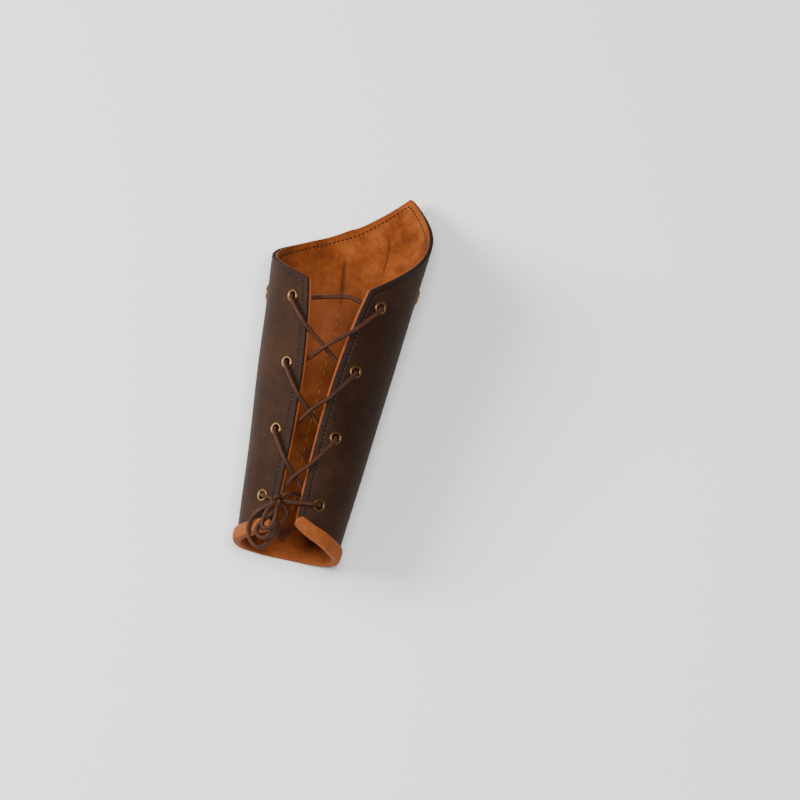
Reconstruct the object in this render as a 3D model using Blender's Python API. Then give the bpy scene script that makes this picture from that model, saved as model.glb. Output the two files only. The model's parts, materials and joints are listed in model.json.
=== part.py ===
# A laced leather bracer that lies on its riveted front, with its lacing on top.
# Metres, +Z up. +Y runs from the wrist to the elbow. Turns are measured round the
# forearm: 0 at the top, 90 degrees at +X, 180 degrees at the front, which lies below.
import math

import bmesh
import bpy
import numpy as np
from mathutils import Matrix, Vector

# Lengths along the forearm, from just beyond the wrist edge of the front. The wrist edge
# dips a little at both sides and rises to the flaps.
PEAK_LENGTH = 0.255
FLAP_LENGTH = 0.169
FLAP_RISE = 0.0065

# Outside of the leather at the wrist edge and at the height of the peak.
WRIST_WIDTH = 0.0664
ELBOW_WIDTH = 0.1102
WRIST_FRONT = 0.0315
ELBOW_FRONT = 0.0520
WRIST_BACK = 0.0335
ELBOW_BACK = 0.0555
FRONT_FULLNESS = 2.4
BACK_FULLNESS = 2.0

# The peak stands on the short side of the front. Each row of an edge: share of the way
# round from its flap to the peak, share of the rise from the flap to the peak.
PEAK_TURN = math.radians(146)
SHORT_EDGE = ((0, 0), (0.25, 0.232), (0.38, 0.356), (0.61, 0.610), (1, 1))
LONG_EDGE = ((0, 0), (0.33, 0.234), (0.45, 0.335), (0.645, 0.489), (0.78, 0.6255), (0.87, 0.786), (1, 1))

# The wrist edge. Each row: degrees from the middle of the lacing, share of the flaps' rise.
WRIST_LINE = (
    (0, 1.46), (12, 0.85), (20, 0.54), (36, 0.15), (55, -0.22), (90, -0.40), (135, -0.31),
    (180, -0.18), (225, -0.31),
)

# The gap between the flaps, and how far its middle stands to +X.
WRIST_GAP = 0.0155
ELBOW_GAP = 0.0430
GAP_FLARE = 3.0
WRIST_SKEW = -0.0056
ELBOW_SKEW = -0.0034

# Walls.
SHELL = 0.0022
LINING = 0.0012
CLEAR = 0.0003
LINING_PROUD = 0.0006
WALL = SHELL + CLEAR + LINING

# The lining turns out over the wrist edge as a soft roll, pressed flat where it rests.
ROLL_HEIGHT = 0.0092
ROLL_THICK = 0.0020
ROLL_LIP = 0.0016
ROLL_END_HEIGHT = 0.0024
ROLL_END_SLANT = 0.0055
ROLL_WIDEST = 0.36
ROLL_PRESS = 0.0006

# Eyelets, in rows down both flaps.
EYELET_ROWS = 4
EYELET_BELOW_TOP_LEFT = 0.0124
EYELET_BELOW_TOP_RIGHT = 0.0092
EYELET_ABOVE_WRIST = 0.0185
EYELET_FROM_EDGE = 0.0120
EYELET_RADIUS = 0.0043
EYELET_BACK_RADIUS = 0.0040
EYELET_BORE = 0.0048
EYELET_METAL = 0.00035
EYELET_CROWN = 0.00055
EYELET_BACK_CLEAR = 0.0005

# Rivets: name, turn and distance below the elbow edge.
RIVETS = (
    ("rivet_short_side", math.radians(99), 0.0395),
    ("rivet_peak", math.radians(151), 0.0270),
    ("rivet_long_side", math.radians(204), 0.0258),
    ("rivet_far_side", math.radians(259), 0.0277),
)
RIVET_RADIUS = 0.0052
RIVET_CROWN = 0.0020
RIVET_BRIM = 0.0006
RIVET_POST = 0.0016

# The round lace, and the knot it ends in: how far that stands aside from the middle of
# the gap, below the last eyelets and off the leather.
LACE = 0.0028
LACE_BEND = 0.0049
LACE_OFF_WALL = 0.0007
LACE_CROSSING = 0.0040
LACE_SHIFT = 0.00045
LACE_SAG = 0.0010
LACE_DROOP = 0.0080
KNOT_SIZE = (0.0092, 0.0084, 0.0072)
KNOT_ASIDE = -0.0059
KNOT_BELOW_EYELETS = 0.0035
KNOT_LIFT = 0.0041

# How finely the surfaces are divided. Columns crowd towards the flaps' edges.
SHORT_COLUMNS = 15
LONG_COLUMNS = 25
COLUMN_CROWDING = 1.25
ROWS = 9
TURNED_SIDES = 14
DOME_STEPS = 5
KNOT_SIDES = 12
KNOT_RINGS = 8
LACE_SPACING = 0.009
BOW_SPACING = 0.004

# The lace's top run, inside the elbow end. Each row: share of the way from the left eyelet
# to the right one, how far the run bows towards the elbow there.
TOP_RUN = ((0.38, 0.0030), (0.72, 0.0044))

# Routes of the bow. Each row, in thicknesses of the lace: across from the knot, from
# the knot towards the elbow, and straight up from the outside of the leather.
OUTER_LOOP = (
    (-2.52, -1.40, 1.00),
    (-4.26, -2.82, 1.50),
    (-5.44, -4.86, 2.20),
    (-5.74, -6.87, 2.40),
    (-5.09, -8.92, 2.00),
    (-3.84, -10.42, 1.20),
    (-2.34, -10.95, 0.30),
    (-1.05, -10.06, -0.40),
    (-0.03, -8.42, -0.50),
    (0.90, -6.42, -0.20),
    (1.79, -4.26, 0.20),
    (2.35, -2.60, 0.60),
    (1.75, -1.55, 0.75),
)
INNER_LOOP = (
    (-0.29, -1.90, 2.60),
    (-0.22, -3.28, 3.10),
    (-0.36, -5.07, 3.20),
    (-0.88, -6.65, 3.30),
    (-1.81, -7.16, 3.60),
    (-2.80, -6.49, 3.80),
    (-2.82, -4.73, 3.70),
    (-2.16, -2.63, 3.20),
)
LONG_TAIL = (
    (-0.35, -2.05, 0.80),
    (-1.75, -3.75, 1.15),
    (-3.15, -5.35, 1.85),
    (-3.84, -7.15, 2.30),
    (-3.21, -8.61, 2.30),
    (-1.92, -9.05, 2.00),
    (-0.73, -8.14, 1.70),
    (0.06, -6.57, 1.45),
    (0.69, -5.01, 1.20),
)
SHORT_TAIL = (
    (0.75, 1.46, 1.57),
    (1.96, 2.18, 0.86),
    (3.18, 2.54, -0.57),
    (4.18, 2.64, -2.29),
    (4.89, 2.54, -4.00),
    (5.39, 2.18, -5.86),
    (5.68, 1.61, -7.79),
)


def between(wrist, elbow, height):
    """A size that grows evenly from the wrist to the height of the peak."""
    return wrist + (elbow - wrist) * height / PEAK_LENGTH


def half_width(height):
    return between(WRIST_WIDTH, ELBOW_WIDTH, height) / 2


def outline(turn, height):
    """The outside of the leather: rounder over the lacing, flatter over the front."""
    across, up = math.sin(turn), math.cos(turn)
    if up < 0:
        power, depth = 2 / FRONT_FULLNESS, between(WRIST_FRONT, ELBOW_FRONT, height)
    else:
        power, depth = 2 / BACK_FULLNESS, between(WRIST_BACK, ELBOW_BACK, height)
    x = math.copysign(abs(across) ** power, across) * half_width(height)
    z = math.copysign(abs(up) ** power, up) * depth
    return Vector((x, height, z))


def outward(turn, height):
    """The direction straight out of the leather, in the plane of the section."""
    step = 0.002
    along = outline(turn + step, height) - outline(turn - step, height)
    return Vector((-along.z, 0, along.x)).normalized()


def inside(turn, height, inset):
    """A point this far inside the outer surface, or outside it if inset is negative."""
    return outline(turn, height) - outward(turn, height) * inset


def wrist_edge(turn):
    """The height of the wrist edge, the same on both sides of the lacing."""
    away = abs((turn + math.pi) % (2 * math.pi) - math.pi)
    return FLAP_RISE * smooth(WRIST_LINE, math.degrees(away))


def flap_height(share):
    return FLAP_RISE + share * (FLAP_LENGTH - FLAP_RISE)


def flap_turn(side, share, proud=0.0):
    """The turn of a flap's edge, a share of the way up: side is 1 at +X and -1 at -X."""
    middle = WRIST_SKEW + (ELBOW_SKEW - WRIST_SKEW) * share
    gap = WRIST_GAP + (ELBOW_GAP - WRIST_GAP) * share**GAP_FLARE
    return (middle + side * (gap / 2 - proud)) / half_width(flap_height(share))


def smooth(table, at):
    """A smooth value from a table of (place, value), straight on beyond its ends."""
    places, values = (np.array(column, float) for column in zip(*table, strict=True))
    slopes = np.gradient(values, places)
    k = min(max(int(np.searchsorted(places, at)) - 1, 0), len(places) - 2)
    width = places[k + 1] - places[k]
    t = (at - places[k]) / width
    if t < 0 or t > 1:
        end = k if t < 0 else k + 1
        return values[end] + slopes[end] * (at - places[end])
    return (
        values[k] * (2 * t**3 - 3 * t**2 + 1)
        + slopes[k] * width * (t**3 - 2 * t**2 + t)
        + values[k + 1] * (3 * t**2 - 2 * t**3)
        + slopes[k + 1] * width * (t**3 - t**2)
    )


def top_edge(turn):
    """The height of the elbow edge, which climbs both sides to the peak."""
    if turn < PEAK_TURN:
        table, flap = SHORT_EDGE, flap_turn(1, 1)
    else:
        table, flap = LONG_EDGE, flap_turn(-1, 1) + 2 * math.pi
    share = smooth(table, (turn - flap) / (PEAK_TURN - flap))
    return FLAP_LENGTH + (PEAK_LENGTH - FLAP_LENGTH) * share


def column_turns(share, proud):
    """The turns of all columns at a share of the way up, from flap to flap."""
    right, left = flap_turn(1, share, proud), flap_turn(-1, share, proud) + 2 * math.pi
    short = [
        right + (PEAK_TURN - right) * (i / SHORT_COLUMNS) ** COLUMN_CROWDING
        for i in range(SHORT_COLUMNS)
    ]
    long = [
        left - (left - PEAK_TURN) * (i / LONG_COLUMNS) ** COLUMN_CROWDING
        for i in range(LONG_COLUMNS + 1)
    ]
    return short + long[::-1]


def columns(proud, foot):
    """For each column its (turn, height) up the rows, from foot above the wrist edge."""
    shares = np.linspace(0, 1, ROWS + 1)
    turns = [column_turns(share, proud) for share in shares]
    grid = []
    for i, top_turn in enumerate(turns[-1]):
        top = top_edge(top_turn)
        rows = []
        for share, row in zip(shares, turns, strict=True):
            base = wrist_edge(row[i]) + foot
            rows.append((row[i], base + share * (top - base)))
        grid.append(rows)
    return grid


def shell_profile(rows, _from_edge):
    """One column of the shell: up its outside and down its inside."""
    outer = [inside(turn, height, 0) for turn, height in rows]
    inner = [inside(turn, height, SHELL) for turn, height in rows]
    return outer + inner[::-1]


def lining_profile(rows, from_edge):
    """One column of the lining: down its inside, round the roll and up behind the shell."""
    turn, foot = rows[0][0], wrist_edge(rows[0][0])
    slant = min(1, from_edge / ROLL_END_SLANT)
    height = ROLL_END_HEIGHT + (ROLL_HEIGHT - ROLL_END_HEIGHT) * slant
    inner, outer = WALL, SHELL + CLEAR
    face = -CLEAR - ROLL_THICK
    roll = (
        (inner - 0.15 * LINING, 0.25 * ROLL_LIP),
        (inner - 0.9 * LINING, 0),
        (-0.5 * ROLL_THICK, 0),
        (0.86 * face, 0.09 * height),
        (face, ROLL_WIDEST * height),
        (0.95 * face, 0.66 * height),
        (0.62 * face, 0.93 * height),
        (-CLEAR - 0.2 * ROLL_THICK, height),
        (-CLEAR, 0.94 * height),
        (-CLEAR, ROLL_LIP),
        (outer, ROLL_LIP),
    )
    down = [inside(t, h, inner) for t, h in rows[::-1]]
    around = [inside(turn, foot + up, inset) for inset, up in roll]
    back_up = [inside(t, h, outer) for t, h in rows[1:]]
    return down + around + back_up


def new_object(name, mesh_or_curve, material, parent):
    made = bpy.data.objects.new(name, mesh_or_curve)
    bpy.context.scene.collection.objects.link(made)
    made.data.materials.append(material)
    made.parent = parent
    return made


def new_material(name, colour, roughness, metallic=0.0):
    material = bpy.data.materials.new(name)
    material.use_nodes = True
    shader = material.node_tree.nodes["Principled BSDF"]
    shader.inputs["Base Color"].default_value = (*colour, 1)
    shader.inputs["Roughness"].default_value = roughness
    shader.inputs["Metallic"].default_value = metallic
    return material


def swept_leather(name, profile, proud, foot):
    """A closed wall: one closed profile for each column, joined round the forearm."""
    grid = columns(proud, foot)
    edges = [inside(*rows[0], 0) for rows in grid]
    along = np.concatenate([[0], np.cumsum([(b - a).length for a, b in zip(edges, edges[1:])])])
    bm = bmesh.new()
    rings = []
    for rows, way in zip(grid, along, strict=True):
        from_edge = min(way, along[-1] - way)
        rings.append([bm.verts.new(point) for point in profile(rows, from_edge)])
    for ring, following in zip(rings, rings[1:]):
        for k in range(len(ring)):
            n = (k + 1) % len(ring)
            bm.faces.new((ring[k], ring[n], following[n], following[k]))
    bm.faces.new(rings[0])
    bm.faces.new(rings[-1])
    bmesh.ops.recalc_face_normals(bm, faces=bm.faces)
    mesh = bpy.data.meshes.new(name)
    bm.to_mesh(mesh)
    bm.free()
    return mesh


def press_flat(mesh, pose):
    """Whatever would reach below the surface that the bracer lies on ends level with it."""
    up = pose.inverted().to_3x3() @ Vector((0, 0, 1))
    for vertex in mesh.vertices:
        depth = (pose @ vertex.co).z
        if depth < 0:
            vertex.co -= up * depth


def turned(name, profile, sides):
    """A profile of (radius, height) turned about Z. Points on the axis close it."""
    bm = bmesh.new()
    verts = [bm.verts.new((radius, 0, height)) for radius, height in profile]
    lines = [bm.edges.new(pair) for pair in zip(verts, verts[1:])]
    if profile[0][0] > 0:
        lines.append(bm.edges.new((verts[-1], verts[0])))
    bmesh.ops.spin(
        bm, geom=verts + lines, cent=(0, 0, 0), axis=(0, 0, 1), angle=2 * math.pi,
        steps=sides, use_duplicate=False,
    )
    bmesh.ops.remove_doubles(bm, verts=bm.verts, dist=1e-6)
    bmesh.ops.recalc_face_normals(bm, faces=bm.faces)
    mesh = bpy.data.meshes.new(name)
    bm.to_mesh(mesh)
    bm.free()
    mesh.shade_smooth()
    mesh.set_sharp_from_angle(angle=math.radians(40))
    return mesh


def seat(turn, height):
    """The frame of a fitting: origin on the outside of the leather, +Z straight out."""
    step = 0.002
    out = outward(turn, height)
    up = (outline(turn, height + step) - outline(turn, height - step)).normalized()
    out = (out - up * out.dot(up)).normalized()
    across = up.cross(out)
    frame = Matrix((across, up, out)).transposed().to_4x4()
    frame.translation = outline(turn, height)
    return frame


def eyelet_place(side, row):
    """The turn and height of an eyelet: row 0 is nearest the elbow."""
    below = EYELET_BELOW_TOP_RIGHT if side > 0 else EYELET_BELOW_TOP_LEFT
    top, bottom = FLAP_LENGTH - below, FLAP_RISE + EYELET_ABOVE_WRIST
    height = top + (bottom - top) * row / (EYELET_ROWS - 1)
    share = (height - FLAP_RISE) / (FLAP_LENGTH - FLAP_RISE)
    return flap_turn(side, share) + side * EYELET_FROM_EDGE / half_width(height), height


def eyelet_mesh():
    """A rolled eyelet: a barrel through both leathers with a crown on each face."""
    bore, barrel = EYELET_BORE / 2, EYELET_BORE / 2 + EYELET_METAL
    front, back = CLEAR, -WALL - EYELET_BACK_CLEAR
    rim, rim_back = EYELET_RADIUS, EYELET_BACK_RADIUS
    middle, middle_back = (bore + rim) / 2, (bore + rim_back) / 2
    profile = (
        (barrel, front),
        (rim, front),
        (rim - 0.1 * EYELET_RADIUS, front + 0.75 * EYELET_CROWN),
        (middle, front + EYELET_CROWN),
        (bore, front + 0.3 * EYELET_CROWN),
        (bore, back - 0.3 * EYELET_CROWN),
        (middle_back, back - EYELET_CROWN),
        (rim_back - 0.1 * EYELET_RADIUS, back - 0.75 * EYELET_CROWN),
        (rim_back, back),
        (barrel, back),
    )
    return turned("eyelet", profile, TURNED_SIDES)


def rivet_mesh():
    """A domed head on a post that ends level with the back of the shell."""
    angles = [math.pi / 2 * i / DOME_STEPS for i in range(DOME_STEPS)]
    rise = RIVET_CROWN - RIVET_BRIM
    dome = [
        (RIVET_RADIUS * math.cos(angle), CLEAR + RIVET_BRIM + rise * math.sin(angle))
        for angle in angles
    ]
    profile = [(0, -SHELL), (RIVET_POST, -SHELL), (RIVET_POST, CLEAR), (RIVET_RADIUS, CLEAR)]
    return turned("rivet", [*profile, *dome, (0, CLEAR + RIVET_CROWN)], TURNED_SIDES)


def cutter(name, seats, radius, depth, parent):
    """One mesh of round cutters, each centred on its seat and straight through the wall."""
    bm = bmesh.new()
    for frame in seats:
        bmesh.ops.create_cone(
            bm, cap_ends=True, segments=TURNED_SIDES, radius1=radius, radius2=radius,
            depth=depth, matrix=frame,
        )
    mesh = bpy.data.meshes.new(name)
    bm.to_mesh(mesh)
    bm.free()
    made = bpy.data.objects.new(name, mesh)
    bpy.context.scene.collection.objects.link(made)
    made.parent = parent
    made.hide_render = True
    made.display_type = "WIRE"
    return made


def cut(target, tool):
    modifier = target.modifiers.new(tool.name, "BOOLEAN")
    modifier.operation = "DIFFERENCE"
    modifier.object = tool


def lace_way(start, end, share):
    """The turn and height of the lace between two eyelets: it droops towards the wrist."""
    turn, height = (a + (b - a) * share for a, b in zip(start, end, strict=True))
    return turn, height - LACE_DROOP * 2 * share**0.4 * (1 - share) ** 0.6


def edge_crossing(side, start, end):
    """Where the lace's way from one eyelet to another crosses a flap's edge."""
    low, high = 0.0, 1.0
    for _ in range(30):
        share = (low + high) / 2
        turn, height = lace_way(start, end, share)
        edge = flap_turn(side, (height - FLAP_RISE) / (FLAP_LENGTH - FLAP_RISE))
        beyond = (turn - edge) * side > 0
        starts_here = start[0] * side > end[0] * side
        if beyond == starts_here:
            low = share
        else:
            high = share
    return turn, height


def through_eyelet(place, inner_way, outer_way):
    """The lace's bend through an eyelet: in along one way, out along the other."""
    frame = seat(*place)
    out = frame.to_3x3() @ Vector((0, 0, 1))
    centre = frame.translation - out * WALL / 2
    ways = []
    for target in (inner_way, outer_way):
        way = target - centre
        ways.append((way - out * way.dot(out)).normalized())
    points = []
    for degrees in (-90, -60, -30, 0, 30, 60, 90):
        angle = math.radians(degrees)
        mix = min(1, max(0, (degrees + 30) / 60))
        way = (ways[0] * (1 - mix) + ways[1] * mix).normalized()
        off = LACE_BEND * (1 - math.cos(angle)) - LACE_SHIFT
        points.append(centre + out * LACE_BEND * math.sin(angle) + way * off)
    return points


def strand(first_side, knot):
    """One half of the lace, from inside its first eyelet down to the knot."""
    over, under = LACE / 2 + LACE_OFF_WALL, WALL + LACE / 2 + LACE_OFF_WALL
    side, points = first_side, []
    other_first = eyelet_place(-side, 0)
    inner_way = inside(*other_first, WALL)
    for row in range(EYELET_ROWS):
        place = eyelet_place(side, row)
        if row == EYELET_ROWS - 1:
            points += through_eyelet(place, inner_way, knot)
            break
        following = eyelet_place(-side, row + 1)
        leaving = inside(*edge_crossing(side, place, following), -over)
        arriving = inside(*edge_crossing(-side, place, following), under)
        points += through_eyelet(place, inner_way, leaving)
        on_top = LACE_CROSSING / 2 * side
        crossing = inside(*lace_way(place, following, 0.5), WALL / 2 - on_top)
        points += [leaving, crossing, arriving]
        inner_way = arriving
        side = -side
    return points


def knot_place():
    """How far across and up the knot lies, on the outside of the leather."""
    return WRIST_SKEW + KNOT_ASIDE, FLAP_RISE + EYELET_ABOVE_WRIST - KNOT_BELOW_EYELETS


def knot_point():
    x, height = knot_place()
    turn = math.asin(x / half_width(height))
    return inside(turn, height, -KNOT_LIFT)


def over_leather(route):
    """A hand-chosen route as points over, or under, the outside of the leather."""
    knot_across, knot_height = knot_place()
    points = []
    for aside, up, lift in route:
        height = knot_height + up * LACE
        turn = math.asin((knot_across + aside * LACE) / half_width(height))
        points.append(outline(turn, height) + Vector((0, 0, lift * LACE)))
    return points


def knot_face(knot, towards):
    """Where a cord that leaves the knot starts, the clearance off its surface."""
    way = (towards - knot).normalized()
    reach = 1 / math.sqrt(sum((2 * w / size) ** 2 for w, size in zip(way, KNOT_SIZE, strict=True)))
    return knot + way * (reach + CLEAR)


def cord(name, points, most, material, parent):
    """A round cord along a smooth curve through its points, its long runs divided."""
    ends = [points[0] * 2 - points[1], *points, points[-1] * 2 - points[-2]]
    line = []
    for before, a, b, after in zip(ends, ends[1:], ends[2:], ends[3:]):
        parts = max(1, round((b - a).length / most))
        times = [0.0]
        for p, q in ((before, a), (a, b), (b, after)):
            times.append(times[-1] + max((q - p).length, 1e-6) ** 0.5)
        span = times[2] - times[1]
        start = span * ((a - before) / times[1] - (b - before) / times[2] + (b - a) / span)
        late = times[3] - times[2]
        end = span * ((b - a) / span - (after - a) / (times[3] - times[1]) + (after - b) / late)
        for k in range(parts):
            t = k / parts
            line.append(
                a * (2 * t**3 - 3 * t**2 + 1)
                + start * (t**3 - 2 * t**2 + t)
                + b * (3 * t**2 - 2 * t**3)
                + end * (t**3 - t**2)
            )
    line.append(points[-1])
    curve = bpy.data.curves.new(name, "CURVE")
    curve.dimensions = "3D"
    curve.bevel_depth = LACE / 2
    curve.bevel_resolution = 2
    curve.use_fill_caps = True
    spline = curve.splines.new("POLY")
    spline.points.add(len(line) - 1)
    for point, co in zip(spline.points, line, strict=True):
        point.co = (*co, 1)
    return new_object(name, curve, material, parent)


def rest_pose():
    """The tilt and height at which the roll and the elbow edge both lie on the surface."""
    roll_height = wrist_edge(math.pi) + ROLL_WIDEST * ROLL_HEIGHT
    roll = between(WRIST_FRONT, ELBOW_FRONT, roll_height) + CLEAR + ROLL_THICK - ROLL_PRESS
    edge_height = top_edge(math.pi)
    edge = between(WRIST_FRONT, ELBOW_FRONT, edge_height)
    tilt = math.atan((edge - roll) / (edge_height - roll_height))
    turned_up = Matrix.Rotation(tilt, 4, "X")
    lowest = (turned_up @ Vector((0, edge_height, -edge))).z
    return Matrix.Translation((0, 0, -lowest)) @ turned_up


def middle_of(objects, pose):
    """The middle across and along of these objects once they are posed."""
    corners = np.array([
        pose @ made.matrix_basis @ vertex.co for made in objects for vertex in made.data.vertices
    ])
    return (corners.min(axis=0) + corners.max(axis=0)) / 2


def make_bracer():
    for old in list(bpy.data.objects):
        bpy.data.objects.remove(old)
    rest = bpy.data.objects.new("lying_down", None)
    bpy.context.scene.collection.objects.link(rest)
    pose = rest_pose()

    dark = new_material("dark_leather", (0.075, 0.045, 0.032), 0.55)
    tan = new_material("tan_suede", (0.42, 0.16, 0.045), 0.9)
    brass = new_material("aged_brass", (0.50, 0.31, 0.12), 0.35, 1.0)
    copper = new_material("copper_brass", (0.72, 0.40, 0.14), 0.25, 1.0)
    brown = new_material("brown_cord", (0.10, 0.045, 0.035), 0.7)

    shell = new_object("shell", swept_leather("shell", shell_profile, 0, ROLL_LIP + CLEAR), dark, rest)
    lining_mesh = swept_leather("lining", lining_profile, LINING_PROUD, ROLL_LIP)
    press_flat(lining_mesh, pose)
    lining = new_object("lining", lining_mesh, tan, rest)
    solids = [shell, lining]

    eyelet = eyelet_mesh()
    seats = []
    for side, word in ((-1, "left"), (1, "right")):
        for row in range(EYELET_ROWS):
            made = new_object(f"eyelet_{word}_{row + 1}", eyelet, brass, rest)
            made.matrix_basis = seat(*eyelet_place(side, row))
            seats.append(made.matrix_basis.copy())
            solids.append(made)
    barrel = EYELET_BORE / 2 + EYELET_METAL + CLEAR
    holes = cutter("eyelet_holes", seats, barrel, 4 * WALL, rest)
    cut(shell, holes)
    cut(lining, holes)

    rivet = rivet_mesh()
    seats = []
    for name, turn, below_edge in RIVETS:
        made = new_object(name, rivet, copper, rest)
        made.matrix_basis = seat(turn, top_edge(turn) - below_edge)
        seats.append(made.matrix_basis.copy())
        solids.append(made)
    cut(shell, cutter("rivet_holes", seats, RIVET_POST + CLEAR, 3 * SHELL, rest))

    knot = knot_point()
    left, right = strand(-1, knot), strand(1, knot)
    bar = [left[0].lerp(right[0], share) + Vector((0, bow, -LACE_SAG)) for share, bow in TOP_RUN]
    left_end, right_end = knot_face(knot, left[-1]), knot_face(knot, right[-1])
    cord("lace", [left_end, *left[::-1], *bar, *right, right_end], LACE_SPACING, brown, rest)
    for name, route, closed in (
        ("bow_loop_outer", OUTER_LOOP, True),
        ("bow_loop_inner", INNER_LOOP, True),
        ("bow_tail_long", LONG_TAIL, False),
        ("bow_tail_short", SHORT_TAIL, False),
    ):
        points = over_leather(route)
        back = [knot_face(knot, points[-1])] if closed else []
        cord(name, [knot_face(knot, points[0]), *points, *back], BOW_SPACING, brown, rest)
    bm = bmesh.new()
    bmesh.ops.create_uvsphere(
        bm, u_segments=KNOT_SIDES, v_segments=KNOT_RINGS, radius=0.5,
        matrix=Matrix.Diagonal((*KNOT_SIZE, 1)),
    )
    mesh = bpy.data.meshes.new("bow_knot")
    bm.to_mesh(mesh)
    bm.free()
    new_object("bow_knot", mesh, brown, rest).location = knot

    middle = middle_of(solids, pose)
    rest.matrix_basis = Matrix.Translation((-middle[0], -middle[1], 0)) @ pose


make_bracer()
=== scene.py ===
import json
import math

import bpy
import numpy as np
from mathutils import Matrix, Quaternion, Vector

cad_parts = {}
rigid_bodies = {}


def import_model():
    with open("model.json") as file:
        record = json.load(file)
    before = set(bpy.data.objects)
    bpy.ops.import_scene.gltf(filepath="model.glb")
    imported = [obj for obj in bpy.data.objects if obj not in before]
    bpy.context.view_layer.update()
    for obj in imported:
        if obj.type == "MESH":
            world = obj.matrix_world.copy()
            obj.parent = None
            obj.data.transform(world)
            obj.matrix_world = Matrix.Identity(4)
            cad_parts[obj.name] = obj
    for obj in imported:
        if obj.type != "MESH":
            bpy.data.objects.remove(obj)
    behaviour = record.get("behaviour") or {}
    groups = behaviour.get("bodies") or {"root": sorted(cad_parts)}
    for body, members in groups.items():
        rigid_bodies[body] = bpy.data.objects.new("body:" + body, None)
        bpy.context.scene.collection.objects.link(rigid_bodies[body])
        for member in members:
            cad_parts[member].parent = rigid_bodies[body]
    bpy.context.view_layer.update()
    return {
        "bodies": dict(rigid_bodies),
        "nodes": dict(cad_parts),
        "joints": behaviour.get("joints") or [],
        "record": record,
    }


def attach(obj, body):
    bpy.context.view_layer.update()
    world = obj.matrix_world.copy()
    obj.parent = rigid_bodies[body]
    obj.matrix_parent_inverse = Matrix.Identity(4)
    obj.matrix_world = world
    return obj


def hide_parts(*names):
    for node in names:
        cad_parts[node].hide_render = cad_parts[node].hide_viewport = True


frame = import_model()
print("frame loaded")

# the photograph: looked down on from beyond the wrist, the camera turned a little about its own line
photoView = dict(azimuth=-2.369, elevation=72.900, roll=14.503, distance=8.0, target=(0.0, 0.0, 0.03),
                 pixelsPerMetre=1539.60, centre=(327.75, 365.85), image=800)


def makeCamera(v):
    az, el = math.radians(v["azimuth"]), math.radians(v["elevation"])
    away = Vector((math.cos(el) * math.sin(az), -math.cos(el) * math.cos(az), math.sin(el)))
    turn = away.to_track_quat("Z", "Y") @ Quaternion((0, 0, 1), math.radians(v["roll"]))
    camera = bpy.data.objects.new("camera", bpy.data.cameras.new("camera"))
    bpy.context.scene.collection.objects.link(camera)
    stand = Matrix.Translation(Vector(v["target"]) + away * v["distance"])
    camera.matrix_world = stand @ turn.to_matrix().to_4x4()
    lens = camera.data
    lens.sensor_width = 36.0
    lens.lens = 36.0 * v["pixelsPerMetre"] * v["distance"] / v["image"]
    lens.shift_x = 0.5 - v["centre"][0] / v["image"]  # the target's place, as a share of the width
    lens.shift_y = v["centre"][1] / v["image"] - 0.5
    lens.clip_start, lens.clip_end = 0.05, 40.0
    bpy.context.scene.camera = camera


makeCamera(photoView)

# the forearm's shape: +Y from wrist to elbow, turns measured from the lacing on top, 90 degrees at +X
bracer = dict(
    peakLength=0.255, flapLength=0.169, flapRise=0.0065,
    wristLine=((0, 1.46), (12, 0.85), (20, 0.54), (36, 0.15), (55, -0.22), (90, -0.40), (135, -0.31),
               (180, -0.18), (225, -0.31)),
    wristWidth=0.0664, elbowWidth=0.1102, wristFront=0.0315, elbowFront=0.0520,
    wristBack=0.0335, elbowBack=0.0555, frontFullness=2.4, backFullness=2.0,
    peakTurn=math.radians(146), peakRound=0.0008,
    shortEdge=((0, 0), (0.25, 0.232), (0.38, 0.356), (0.61, 0.610), (1, 1)),
    longEdge=((0, 0), (0.33, 0.234), (0.45, 0.335), (0.645, 0.489), (0.78, 0.6255), (0.87, 0.786), (1, 1)),
    wristGap=0.0155, elbowGap=0.0430, gapFlare=3.0, wristSkew=-0.0056, elbowSkew=-0.0034,
    shell=0.0022, lining=0.0015, clear=0.0003, liningProud=0.0010,
    tilt=4.16733, place=(-0.001237, -0.127197, 0.033128),
    swell=0.00022,
)


def between(wrist, elbow, height):
    # a size that grows evenly from the wrist to the height of the peak
    return wrist + (elbow - wrist) * height / bracer["peakLength"]


def halfWidth(height):
    return between(bracer["wristWidth"], bracer["elbowWidth"], height) / 2


def section(turn, height):
    # a superellipse: each of x and z is its half size times the sine or cosine raised to a power
    b = bracer
    across, up = np.sin(turn), np.cos(turn)
    front = up < 0
    power = np.where(front, 2 / b["frontFullness"], 2 / b["backFullness"])
    depth = np.where(front, between(b["wristFront"], b["elbowFront"], height),
                     between(b["wristBack"], b["elbowBack"], height))
    x = np.sign(across) * np.abs(across) ** power * halfWidth(height)
    z = np.sign(up) * np.abs(up) ** power * depth
    return np.stack([x, height + 0 * x, z], -1)


def unit(vectors):
    return vectors / np.maximum(np.linalg.norm(vectors, axis=-1, keepdims=True), 1e-12)


def outwards(turn, height):
    # square to the section: its direction turned a quarter in the plane of the section
    along = section(turn + 0.002, height) - section(turn - 0.002, height)
    return unit(np.stack([-along[..., 2], 0 * along[..., 0], along[..., 0]], -1))


def wristEdge(turn):
    # degrees away from the middle of the lacing look up a share of the flaps' rise
    away = np.degrees(np.abs((turn + math.pi) % (2 * math.pi) - math.pi))
    return bracer["flapRise"] * smoothTable(bracer["wristLine"], away)


def flapHeight(share):
    return bracer["flapRise"] + share * (bracer["flapLength"] - bracer["flapRise"])


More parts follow.
